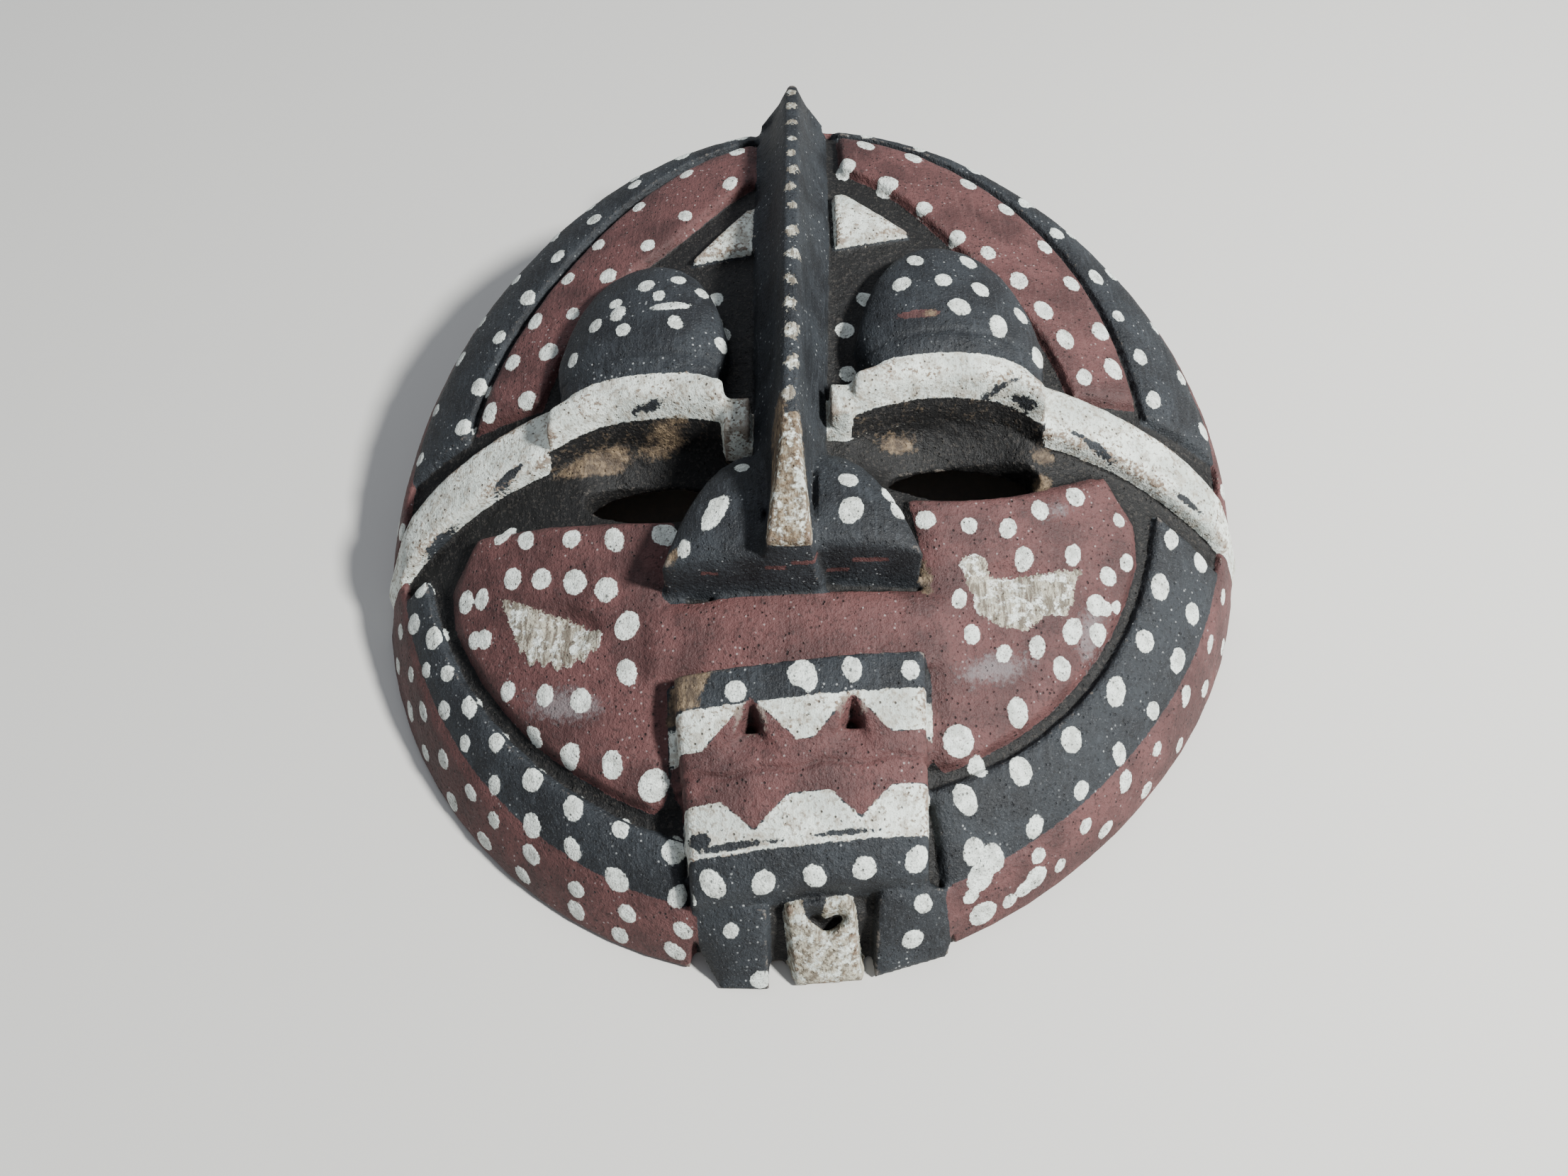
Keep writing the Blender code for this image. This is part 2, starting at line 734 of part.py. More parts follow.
triangle("right", ((6.8, 69.0), (7.0, 49.8), (24.0, 55.2)))
triangle("left", ((-11.5, 64.0), (-11.8, 48.4), (-26.0, 46.6)))
bar_end("right", 4.6, 8.8, -2.0, 7.0, 6.0)
bar_end("left", -17.4, -12.2, -5.5, 7.5, 6.0)

strip("rim_strip_upper", (-4.1, -1.6), (188.5, 184.9), 38)
strip("rim_strip_lower_left", (194.9, 193.6), (256.9, 256.6), 13)
strip("rim_strip_lower_right", (-9.6, -8.6), (-73.4, -73.2), 13)


NOSE_STRIP_X = (-28.9, 25.0)
NOSE_STRIP_Y = (-38.4, -51.4)
NOSE_STRIP_TILT = 0.06


def under_nose():
    def place(u, v):
        x = lerp(*NOSE_STRIP_X, u)
        return x, lerp(*NOSE_STRIP_Y, v) + NOSE_STRIP_TILT * x

    return patch("under_nose_strip", "red", place, spread(9, 0.02), spread(5, 0.06), eased(0.5, 0.4))


# Chip cuts between the teeth: plan size, then heights over the face at the tip and at the base.
NOTCH_HALF = 6.6
NOTCH_LONG = 9.5
NOTCH_TIP_HEIGHT = 2.2
NOTCH_BASE_HEIGHT = 4.9

under_nose()
mouth_part("mouth_upper_band", "black", 0.0, 7.4, 6.0, 5, (-0.6, 0.4))
teeth = mouth_part("mouth_upper_teeth", "white", 7.7, 14.0, 6.2, 5, (0.4, -0.8))
lips = mouth_part("mouth_lips", "red", 14.3, 24.0, 4.8, 5)
for label, tip in (("left", (-11.4, -62.2)), ("right", (7.9, -61.0))):
    notch = chip("tooth_notch_" + label, tip, NOTCH_HALF, NOTCH_LONG, NOTCH_TIP_HEIGHT, NOTCH_BASE_HEIGHT)
    cut(teeth, notch)
    cut(lips, notch)
mouth_part("mouth_lower_teeth", "white", 24.3, 32.6, 5.4, 5)
mouth_part("mouth_lower_band", "black", 32.9, 39.0, 5.4, 5, (0.3, -0.8))
chin_part("chin_block_left", "black", (-20.6, -17.2), (-8.4, -7.9), (-95.0, -94.0), (-104.8, -105.0), 1.6)
chin_part("chin_block_right", "black", (13.0, 12.6), (24.4, 26.6), (-91.4, -90.2), (-102.6, -98.6), 1.6)
lug = chin_part("chin_lug", "white", (-4.6, -2.6), (7.6, 10.4), (-93.6, -92.3), (-104.2, -103.2), 1.2)


# Heart-shaped hole gouged through the lug and on into the shell.
LUG_HOLE = (3.0, -95.4)
LUG_HOLE_SCALE = (0.30, 0.165)
LUG_HOLE_DEEP = 4.5


def heart(middle, scale, count=24):
    points = []
    for k in range(count):
        t = 2 * math.pi * k / count
        x = 16 * math.sin(t) ** 3
        y = 13 * math.cos(t) - 5 * math.cos(2 * t) - 2 * math.cos(3 * t) - math.cos(4 * t)
        points.append((middle[0] + scale[0] * x, middle[1] + scale[1] * y))
    return points


hole = prism("lug_hole", heart(LUG_HOLE, LUG_HOLE_SCALE), ground(*LUG_HOLE) - LUG_HOLE_DEEP, 40.0)
cut(lug, hole)
cut(body, hole)

# Shallow gouges in the cheeks: middle, half sizes and turn of each.
GOUGES = {"left": ((-51.4, -41.0), (10.3, 5.4), -14.0), "right": ((43.4, -32.4), (12.5, 5.4), 13.0)}
GOUGE_HALF_DEEP = 4.0
GOUGE_DEEP = 1.5
for side, (middle, halves, turn) in GOUGES.items():
    height = face(*middle) + GOUGE_HALF_DEEP - GOUGE_DEEP
    gouge = ellipsoid("gouge_" + side, (*middle, height), (*halves, GOUGE_HALF_DEEP), turn, 20, 10)
    cut(CHEEKS[side], gouge)


def join_shift():
    """Moves every mesh so that the middle of the whole mask's box stands on the origin, foot at zero."""
    points = [vert.co for made in MASK.objects for vert in made.data.vertices]
    low = [min(point[k] for point in points) for k in range(3)]
    high = [max(point[k] for point in points) for k in range(3)]
    move = Vector((-(low[0] + high[0]) / 2, -(low[1] + high[1]) / 2, -low[2]))
    for made in list(MASK.objects) + list(CUTTERS.objects):
        for vert in made.data.vertices:
            vert.co += move
    print("shifted by", [round(c / MM, 3) for c in move], "size", [round((b - a) / MM, 2) for a, b in zip(low, high)])


join_shift()
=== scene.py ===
"""Looks of the carved wooden mask: one carved skin over all CAD parts, cut into a piece for each part."""

import json
import math
import random

import bpy
import numpy as np
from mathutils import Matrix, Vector
from mathutils.bvhtree import BVHTree
from mathutils.kdtree import KDTree


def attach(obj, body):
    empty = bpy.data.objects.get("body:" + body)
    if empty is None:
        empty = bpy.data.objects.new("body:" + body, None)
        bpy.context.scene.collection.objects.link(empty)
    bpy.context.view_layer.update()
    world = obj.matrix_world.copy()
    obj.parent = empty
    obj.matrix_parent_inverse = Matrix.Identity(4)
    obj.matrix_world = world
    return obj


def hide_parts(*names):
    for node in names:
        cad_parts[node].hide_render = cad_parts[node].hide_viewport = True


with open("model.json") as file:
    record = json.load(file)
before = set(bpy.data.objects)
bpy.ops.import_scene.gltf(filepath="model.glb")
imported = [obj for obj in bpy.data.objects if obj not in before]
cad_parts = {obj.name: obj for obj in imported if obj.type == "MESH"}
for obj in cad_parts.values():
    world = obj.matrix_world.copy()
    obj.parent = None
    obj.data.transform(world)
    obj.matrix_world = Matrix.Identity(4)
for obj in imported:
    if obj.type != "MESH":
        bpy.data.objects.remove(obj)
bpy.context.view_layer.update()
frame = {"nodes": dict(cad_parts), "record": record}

MM = 0.001

# The mask frame: millimetres from the middle of the foot circle, which is not quite the middle of the box.
FOOT_MIDDLE = np.array((-2.246, -0.718, 0.0))

# The joined skin, in millimetres: its grid, how far each part grows and sinks, and how far a point may move.
VOXEL = 0.5
GROW = 0.24
SINK = 2.6
SINK_FADE = 6.0
SMOOTH_ROUNDS = 30
SMOOTH_SHARE = 0.6
SMOOTH_CAP = 0.28
RIDGE_ROUNDS = 12

# A paint's field is above 0 inside it. WITHIN is well inside, WITHOUT and OUTSIDE are well outside, and FAR
# stands for far away in millimetres.
WITHIN = 5.0
WITHOUT = -5.0
OUTSIDE = -9.0
FAR = 99.0

PAINT_OF_SLOT = {"black_paint": "black", "red_paint": "red", "white_paint": "white", "bare_wood": "wood"}
SLOT_OF_NODE = {part["node"]: part["material_slot"] for part in frame["record"]["subparts"]}
NODES = sorted(frame["nodes"])


# ---------------------------------------------------------------- shape of the mask, in the mask frame

# The foot outline is a circle with waves round it: a mean radius, then each wave's cosine and sine part.
# The last two waves have a cosine part only.
RIM_MEAN = 101.6
RIM_ONE = (1.1, 1.9)
RIM_TWO = (-2.2, 2.1)
RIM_THREE = 1.1
RIM_FOUR = 0.8

# The side wall leans in to this share of the rim radius. Its top edge climbs towards the forehead.
EDGE = 0.925
EDGE_LOW = 13.0
EDGE_CLIMB = 35.0
EDGE_CLIMB_FROM_Y = -60.0
EDGE_CLIMB_LONG = 164.0
EDGE_CLIMB_POWER = 1.6
FACE_BULGE = 26.0
FACE_BULGE_POWER = 0.8

# The crest's middle line at its lower and its upper end.
CREST_X = (-4.0, -3.0)
CREST_Y = (-36.6, 102.5)

# The crescents over the brows, as rings: radius at the side, rise to the top, and how late the rise comes.
CRESCENT_OUTER = {"right": (75.0, 19.0, 2), "left": (75.0, 17.0, 6)}
CRESCENT_INNER = {"right": (60.5, 19.0, 10), "left": (60.5, 16.5, 16)}


def rim_radius(phi):
    radius = RIM_MEAN + RIM_ONE[0] * np.cos(phi) + RIM_ONE[1] * np.sin(phi) + RIM_TWO[1] * np.sin(2 * phi)
    return radius + RIM_TWO[0] * np.cos(2 * phi) + RIM_THREE * np.cos(3 * phi) + RIM_FOUR * np.cos(4 * phi)


def edge_height(y):
    climbed = np.maximum(0.0, (y - EDGE_CLIMB_FROM_Y) / EDGE_CLIMB_LONG)
    return EDGE_LOW + EDGE_CLIMB * climbed**EDGE_CLIMB_POWER


def face_height(x, y):
    rho = np.hypot(x, y) / rim_radius(np.arctan2(y, x))
    return edge_height(y) + FACE_BULGE * np.maximum(0.0, 1.0 - (rho / EDGE) ** 2) ** FACE_BULGE_POWER


def crest_x(y):
    share = (y - CREST_Y[0]) / (CREST_Y[1] - CREST_Y[0])
    return CREST_X[0] + (CREST_X[1] - CREST_X[0]) * share


def crescent_radius(ring, degrees):
    side_radius, rise, power = ring
    return side_radius + rise * abs(math.sin(math.radians(degrees))) ** power


def step(values, low, high):
    """0 below low, 1 above high, and a smooth climb between them."""
    t = np.clip((values - low) / (high - low), 0.0, 1.0)
    return t * t * (3.0 - 2.0 * t)


# ---------------------------------------------------------------- noise on arrays of points

GOUGE_JITTER = 0.7


def hashed(cells, seed):
    """A number from 0 to 1 for each row of whole numbers, the same on every run."""
    mixed = np.full(len(cells), seed * 374761393 % 4294967291, np.uint64)
    for column in cells.T:
        mixed = (mixed ^ column.astype(np.int64).astype(np.uint64)) * np.uint64(0x9E3779B97F4A7C15)
        mixed ^= mixed >> np.uint64(31)
    return (mixed >> np.uint64(11)).astype(np.float64) / float(1 << 53)


def value_noise(points, size, seed):
    """Smooth noise from -1 to 1 with features of the given size; size may be one number or one per axis."""
    scaled = points / size
    base = np.floor(scaled)
    part = scaled - base
    part = part * part * (3.0 - 2.0 * part)
    total = np.zeros(len(points))
    for corner in range(2 ** points.shape[1]):
        offset = np.array([corner >> k & 1 for k in range(points.shape[1])])
        weight = np.where(offset, part, 1.0 - part).prod(1)
        total += weight * hashed(base + offset, seed)
    return total * 2.0 - 1.0


def layered_noise(points, size, seed, layers=3):
    total = np.zeros(len(points))
    for k in range(layers):
        total += value_noise(points, size / 2**k, seed + k) / 2**k
    return total


def gouges(plan, size, seed):
    """Scallops left by a gouge: the squared distance in cells to the nearest jittered cell centre."""
    scaled = plan / size
    base = np.floor(scaled)
    nearest = np.full(len(plan), FAR)
    for dx in (-1, 0, 1):
        for dy in (-1, 0, 1):
            cell = base + (dx, dy)
            jitter = np.stack([hashed(cell, seed), hashed(cell, seed + 7)], 1) - 0.5
            centre = cell + 0.5 + GOUGE_JITTER * jitter
            nearest = np.minimum(nearest, ((scaled - centre) ** 2).sum(1))
    return nearest


# ---------------------------------------------------------------- the joined skin


def mesh_arrays(mesh):
    points = np.empty(len(mesh.vertices) * 3)
    mesh.vertices.foreach_get("co", points)
    corners = np.empty(len(mesh.loops), np.int64)
    mesh.loops.foreach_get("vertex_index", corners)
    sizes = np.empty(len(mesh.polygons), np.int64)
    mesh.polygons.foreach_get("loop_total", sizes)
    return points.reshape(-1, 3), corners, sizes


# Further copies that close a seam where the real surface runs on, as moves in millimetres.
JOINING_MOVES = {
    "under_nose_strip": ((3.2, 0.0, -0.2), (-3.2, 0.0, -0.2), (0.0, 1.6, -0.2)),
    "cheek_right": ((-2.4, 0.0, -0.3),),
    "cheek_left": ((2.4, 0.0, -0.3), (4.6, 0.0, -0.5)),
    "nose_wing_right": ((-1.6, 0.0, 0.6),),
    "nose_wing_left": ((1.6, 0.0, 0.6),),
    "side_bar_right": ((-1.0, 0.0, 0.0),),
    "side_bar_left": ((1.0, 0.0, 0.0),),
    "chin_block_left": ((0.0, 1.4, -0.8), (-2.4, 0.8, -0.5)),
    "chin_block_right": ((0.0, 1.4, -0.8), (2.4, 0.8, -0.5)),
    "chin_lug": ((0.0, 1.4, -0.8), (-2.2, 1.8, -4.8), (2.2, 1.8, -4.8)),
}


def copies(points, node):
    """A part, and the same let down into the shell, so that the parts become one block again."""
    yield points
    if node == "shell" or node.startswith("rim_strip"):
        return
    fade = np.clip(points[:, 2:] / SINK_FADE, 0.0, 1.0)
    yield points - np.array((0.0, 0.0, SINK)) * fade
    for move in JOINING_MOVES.get(node, ()):
        yield points + np.array(move) * fade


def block():
    """All CAD parts in one mesh, each grown and each carved part more than once."""
    all_points = []
    faces = []
    count = 0
    for node in NODES:
        mesh = frame["nodes"][node].data
        points, corners, sizes = mesh_arrays(mesh)
        points = points / MM
        normals = np.empty(len(points) * 3)
        mesh.vertex_normals.foreach_get("vector", normals)
        grown = points + GROW * normals.reshape(-1, 3)
        grown[:, 2] = np.maximum(grown[:, 2], 0.0)
        ends = np.cumsum(sizes)
        for copy in copies(grown, node):
            all_points.append(copy)
            faces.extend((corners[e - s:e] + count).tolist() for s, e in zip(sizes, ends))
            count += len(copy)
    mesh = bpy.data.meshes.new("block")
    mesh.from_pydata((np.concatenate(all_points) * MM).tolist(), [], faces)
    return mesh


def remeshed(mesh, voxel):
    holder = bpy.data.objects.new("block", mesh)
    bpy.context.scene.collection.objects.link(holder)
    modifier = holder.modifiers.new("skin", "REMESH")
    modifier.mode = "VOXEL"
    modifier.voxel_size = voxel * MM
    modifier.use_smooth_shade = True
    graph = bpy.context.evaluated_depsgraph_get()
    made = bpy.data.meshes.new_from_object(holder.evaluated_get(graph))
    bpy.data.objects.remove(holder)
    bpy.data.meshes.remove(mesh)
    return made


def islands(count, edges):
    """The lowest connected vertex number of each vertex."""
    label = np.arange(count)
    while True:
        before = label.copy()
        low = np.minimum(label[edges[:, 0]], label[edges[:, 1]])
        np.minimum.at(label, edges[:, 0], low)
        np.minimum.at(label, edges[:, 1], low)
        label = label[label]
        label = label[label]
        if (label == before).all():
            return label


class Skin:
    """Points in millimetres in the mask frame, square faces, and what is known at each point."""

    def __init__(self, mesh):
        points, corners, sizes = mesh_arrays(mesh)
        self.points = points / MM - FOOT_MIDDLE
        quads = sizes == 4
        starts = np.cumsum(sizes) - sizes
        assert quads.all(), "the skin should hold four-sided faces only"
        self.faces = corners[starts[:, None] + np.arange(4)]
        self.edges = self.edges_of()
        label = islands(len(self.points), self.edges)
        largest = np.bincount(label).argmax()
        self.keep(label == largest)

    def edges_of(self):
        pairs = np.concatenate([self.faces[:, (k, (k + 1) % 4)] for k in range(4)])
        return np.unique(np.sort(pairs, axis=1), axis=0)

    def keep(self, wanted):
        number = np.cumsum(wanted) - 1
        self.faces = number[self.faces[wanted[self.faces].all(1)]]
        self.points = self.points[wanted]
        self.edges = self.edges_of()
        self.degree = np.bincount(self.edges.ravel(), minlength=len(self.points))

    def averaged(self, values):
        a, b = self.edges.T
        columns = values if values.ndim == 2 else values[:, None]
        out = np.empty_like(columns)
        for k in range(columns.shape[1]):
            total = np.bincount(a, columns[b, k], len(columns))
            total = total + np.bincount(b, columns[a, k], len(columns))
            out[:, k] = total / self.degree
        return out if values.ndim == 2 else out[:, 0]

    def normals(self):
        corner = self.points[self.faces]
        flat = np.cross(corner[:, 2] - corner[:, 0], corner[:, 3] - corner[:, 1])
        total = np.zeros_like(self.points)
        for k in range(4):
            for axis in range(3):
                total[:, axis] += np.bincount(self.faces[:, k], flat[:, axis], len(self.points))
        return total / np.maximum(np.linalg.norm(total, axis=1), 1e-12)[:, None]

    def smooth(self, rounds, cap):
        """Evens out the flat facets, but no point moves further than cap, so the carved edges stay."""
        start = self.points.copy()
        for _ in range(rounds):
            self.points += SMOOTH_SHARE * (self.averaged(self.points) - self.points)
            move = self.points - start
            length = np.linalg.norm(move, axis=1)
            self.points = start + move * np.minimum(1.0, cap / np.maximum(length, 1e-9))[:, None]

    def bulge(self, rounds):
        """How far each point stands out of its surroundings: above 0 on edges, below 0 in grooves."""
        even = self.points.copy()
        for _ in range(rounds):
            even = self.averaged(even)
        return ((self.points - even) * self.normals()).sum(1)


def tree_of(nodes):
    """One search tree over the CAD meshes of the nodes, with the node number of each face."""
    all_points = []
    faces = []
    owner = []
    count = 0
    for node in nodes:
        points, corners, sizes = mesh_arrays(frame["nodes"][node].data)
        ends = np.cumsum(sizes)
        faces.extend((corners[e - s:e] + count).tolist() for s, e in zip(sizes, ends))
        owner.extend([NODES.index(node)] * len(sizes))
        all_points.append(points / MM - FOOT_MIDDLE)
        count += len(points)
    return BVHTree.FromPolygons(np.concatenate(all_points).tolist(), faces), np.array(owner)


def nearest_node(points):
    tree, owner = tree_of(NODES)
    found = [tree.find_nearest(point)[2] for point in points.tolist()]
    return owner[found]


def distance_to(paint, points):
    """Distance to the nearest part of that paint, no more than PAINT_REACH."""
    tree, _ = tree_of([node for node in NODES if PAINT_OF_SLOT[SLOT_OF_NODE[node]] == paint])
    found = [tree.find_nearest(point, PAINT_REACH)[3] for point in points.tolist()]
    return np.array([PAINT_REACH if d is None else d for d in found])


# ---------------------------------------------------------------- painted marks

PAINT_REACH = 6.0
RANDOM = random.Random(41)
ANGLE_JITTER = 0.9
PLACE_JITTER = 0.5
CREST_JITTER = 0.4
RING_DOT_SIZES = (0.82, 1.15)
ROW_DOT_SIZES = (0.85, 1.15)


def polar_row(radius, start, end, count, size):
    """Dots along a ring: radius is a function of the angle in degrees."""
    marks = []
    for k in range(count):
        degrees = start + (end - start) * k / (count - 1) + RANDOM.uniform(-ANGLE_JITTER, ANGLE_JITTER)
        reach = radius(degrees) + RANDOM.uniform(-PLACE_JITTER, PLACE_JITTER)
        phi = math.radians(degrees)
        marks.append((reach * math.cos(phi), reach * math.sin(phi), size * RANDOM.uniform(*RING_DOT_SIZES)))
    return marks


def straight_row(start, end, count, bow, size):
    """Dots from one plan point to another; bow pushes the middle of the row to its left."""
    marks = []
    dx = end[0] - start[0]
    dy = end[1] - start[1]
    length = math.hypot(dx, dy)
    for k in range(count):
        t = k / (count - 1)
        push = bow * 4 * t * (1 - t) / length
        x = start[0] + dx * t - dy * push + RANDOM.uniform(-PLACE_JITTER, PLACE_JITTER)
        y = start[1] + dy * t + dx * push + RANDOM.uniform(-PLACE_JITTER, PLACE_JITTER)
        marks.append((x, y, size * RANDOM.uniform(*ROW_DOT_SIZES)))
    return marks


def edge_radius(degrees):
    return EDGE * float(rim_radius(math.radians(degrees)))


def wall_radius(share):
    """Radius on the leaning side wall, from 0 at its top edge to 1 at its foot."""

    def radius(degrees):
        rim = float(rim_radius(math.radians(degrees)))
        return EDGE * rim + (rim - EDGE * rim) * share

    return radius


# The rows on the crescents, the black band and the side strips: radius, both end angles, count and size.
RING_ROWS = (
    (lambda a: crescent_radius(CRESCENT_INNER["right"], a) + (4.6 if a < 56 else 1.6), 17, 82, 9, 2.3),
    (lambda a: crescent_radius(CRESCENT_OUTER["right"], a) - 3.1, 18, 81, 8, 2.4),
    (lambda a: crescent_radius(CRESCENT_OUTER["right"], a) + 5.4, 12.5, 80, 9, 2.0),
    (lambda a: edge_radius(a) - 1.4, 10, 81, 9, 1.9),
    (lambda a: crescent_radius(CRESCENT_INNER["left"], a) + 3.2, 166.5, 104, 7, 2.1),
    (lambda a: crescent_radius(CRESCENT_OUTER["left"], a) - 2.9, 169, 101, 8, 2.0),
    (lambda a: crescent_radius(CRESCENT_OUTER["left"], a) + 3.5 + 0.055 * (172 - a), 172, 101, 9, 2.0),
    (lambda a: edge_radius(a) - 1.2, 174, 100, 10, 1.7),
    (lambda a: 80.2, -11, -68, 7, 2.3),
    (lambda a: 88.6, -12, -69, 8, 2.2),
    (lambda a: 87.6, -163, -108, 9, 2.1),
    (lambda a: edge_radius(a) - 1.3, -160, -106, 9, 2.0),
    (wall_radius(0.35), -14, -70, 8, 1.9),
    (wall_radius(0.75), -18, -66, 7, 1.8),
    (wall_radius(0.4), -161, -105, 10, 1.9),
    (wall_radius(0.8), -158, -104, 9, 1.9),
    (wall_radius(0.28), 2, 78, 9, 1.9),
    (wall_radius(0.62), 6, 76, 9, 1.9),
    (wall_radius(0.28), 184, 102, 10, 1.8),
    (wall_radius(0.62), 181, 104, 9, 1.8),
    (wall_radius(0.86), 16, 78, 8, 1.8),
    (wall_radius(0.86), 166, 102, 8, 1.8),
)

# The rows on the brow domes, cheeks, nose, mouth and chin: both ends, count, bow and size.
FIELD_ROWS = (
    ((13.0, 35.0), (36.0, 41.4), 3, 1.6, 2.0),
    ((20.4, 30.6), (47.0, 27.4), 4, 2.6, 2.1),
    ((32.4, 23.6), (49.8, 17.0), 3, 0.8, 2.2),
    ((8.8, 26.0), (9.2, 14.4), 2, 0.0, 2.2),
    ((-50.4, 16.4), (-20.4, 35.4), 6, 6.0, 1.8),
    ((-41.4, 24.8), (-22.6, 30.4), 3, 1.6, 1.8),
    ((-39.4, 19.4), (-28.0, 19.6), 2, 0.0, 1.9),
    ((-18.9, 25.0), (-18.3, 16.4), 2, 0.0, 1.8),
    ((24.2, -20.6), (41.4, -21.4), 3, 0.0, 2.0),
    ((48.8, -16.6), (56.4, -11.6), 2, 0.0, 2.0),
    ((66.4, -14.8), (67.2, -23.6), 2, 0.0, 1.7),
    ((54.8, -24.4), (62.6, -27.4), 2, 0.0, 1.9),
    ((61.0, -34.4), (64.6, -33.4), 2, 0.0, 1.7),
    ((30.0, -37.4), (33.0, -43.8), 2, 0.0, 2.0),
    ((38.6, -46.6), (46.2, -44.6), 2, 0.0, 2.0),
    ((54.0, -40.2), (60.2, -39.8), 2, 0.0, 2.1),
    ((51.4, -47.8), (41.2, -58.0), 2, 0.0, 2.3),
    ((-59.0, -21.0), (-30.0, -23.8), 4, -0.8, 2.3),
    ((-71.6, -31.0), (-69.6, -40.0), 2, 0.0, 1.9),
    ((-68.0, -31.4), (-66.6, -40.4), 2, 0.0, 1.9),
    ((-62.0, -29.0), (-41.0, -34.2), 4, 0.6, 2.3),
    ((-60.6, -51.4), (-45.0, -55.2), 3, -0.6, 2.1),
    ((-55.0, -61.2), (-38.4, -68.6), 3, -0.6, 2.3),
    ((-14.0, -58.6), (19.2, -54.4), 4, 1.4, 2.0),
    ((-18.0, -91.4), (19.4, -86.2), 5, -1.2, 2.2),
    ((-14.6, -97.0), (-9.6, -103.4), 2, 0.0, 1.9),
    ((20.2, -97.0), (21.4, -92.0), 2, 0.0, 1.9),
    ((-13.8, -14.6), (-24.8, -33.4), 3, 1.6, 1.6),
    ((7.8, -19.6), (8.2, -26.6), 2, 0.0, 1.9),
    ((16.2, -21.8), (17.0, -25.8), 2, 0.0, 1.8),
)

# Worn dabs along the top edge of the crest: where they start and stop, their sizes and their spacing.
CREST_DOTS_Y = (98.0, -12.0)
CREST_DOT_SIZES = (1.1, 1.7)
CREST_DOT_GAPS = (6.4, 9.0)

# Blots where paint ran together at the lower right, and large dabs on the cheeks, nose and mouth.
BLOTS = (
    (34.0, -91.4, 3.0),
    (33.0, -86.6, 2.8),
    (35.4, -83.6, 2.6),
    (29.0, -64.2, 3.2),
    (32.6, -67.4, 2.0),
    (-30.2, -72.6, 3.0),
    (-36.4, -42.0, 2.7),
    (45.0, -84.6, 2.6),
    (42.6, -86.6, 2.0),
    (8.0, -26.8, 2.6),
    (-36.0, -51.2, 2.3),
    (-64.0, -17.4, 2.1),
    (32.6, 23.8, 2.5),
    (44.4, -27.0, 2.2),
    (59.6, -34.2, 2.3),
    (33.6, -29.8, 2.6),
    (35.0, -36.6, 2.0),
)

# Marks that are not round: middle, half length, half width and direction in degrees.
LONG_MARKS = (
    ((-29.4, 25.0), 4.6, 1.2, 4.0),
    ((-18.4, -26.6), 4.4, 2.1, 62.0),
    ((-1.0, -56.0), 3.6, 2.2, -70.0),
)


def crest_dots():
    marks = []
    y = CREST_DOTS_Y[0]
    while y > CREST_DOTS_Y[1]:
        x = crest_x(y) + RANDOM.uniform(-CREST_JITTER, CREST_JITTER)
        marks.append((x, y, RANDOM.uniform(*CREST_DOT_SIZES)))
        y -= RANDOM.uniform(*CREST_DOT_GAPS)
    return marks


def all_dots():
    """Every dab as plan place and size, in the order in which they are drawn at random."""
    marks = []
    for row in RING_ROWS:
        marks += polar_row(*row)
    for row in FIELD_ROWS:
        marks += straight_row(*row)
    return marks + crest_dots() + list(BLOTS)


# White chip-carved fields in the cheeks, as plan outlines.
LEFT_LEAF = [(-64, -32.5), (-56, -36), (-49, -38.5), (-41, -43)]
LEFT_LEAF += [(-43.5, -47), (-49, -49), (-57, -46.5), (-61, -40)]
RIGHT_LEAF = [(30, -30), (32, -28), (36, -28.5), (37, -31), (45, -30), (51, -29), (57, -27.5)]
RIGHT_LEAF += [(55, -31.5), (54.5, -35), (52.5, -38), (49, -38), (46.5, -39.5), (44, -42)]
RIGHT_LEAF += [(38.5, -41.5), (35, -40), (34, -38), (31.5, -32)]

# A mark is laid on the surface that a ray from above meets. It stretches and turns at random, and it fades
# on points that face away from it.
RAY_TOP = 120.0
MARK_REACH = 3.0
MARK_STRETCH = (1.0, 1.28)
MARK_TURN = (60.0, 120.0)
LEAST_FACING = 0.35
FACING_LOSS = 3.0


def dot_field(skin, normals):
    """Distance inside the nearest white mark, in millimetres: above 0 on paint."""
    tree = KDTree(len(skin.points))
    for k, point in enumerate(skin.points.tolist()):
        tree.insert(point, k)
    tree.balance()
    front, _ = tree_of(NODES)
    field = np.full(len(skin.points), -MARK_REACH)
    down = Vector((0.0, 0.0, -1.0))

    def lay(x, y, long_half, short_half, degrees):
        hit = front.ray_cast(Vector((x, y, RAY_TOP)), down)
        if hit[0] is None:
            return
        place, normal = hit[0], hit[1]
        along = Vector((math.cos(math.radians(degrees)), math.sin(math.radians(degrees)), 0.0))
        along = (along - normal * along.dot(normal)).normalized()
        across = normal.cross(along)
        near = np.array([found[1] for found in tree.find_range(place, long_half + MARK_REACH)])
        if not len(near):
            return
        offset = skin.points[near] - np.array(place)
        facing = normals[near] @ np.array(normal)
        u = offset @ np.array(along) / long_half
        v = offset @ np.array(across) / short_half
        inside = (1.0 - np.hypot(u, v)) * short_half - FACING_LOSS * np.maximum(0.0, LEAST_FACING - facing)
        field[near] = np.maximum(field[near], inside)

    for x, y, size in all_dots():
        stretch = RANDOM.uniform(*MARK_STRETCH)
        lay(x, y, size * stretch, size / stretch**0.5, RANDOM.uniform(*MARK_TURN))
    for middle, long_half, short_half, degrees in LONG_MARKS:
        lay(*middle, long_half, short_half, degrees)
    return field


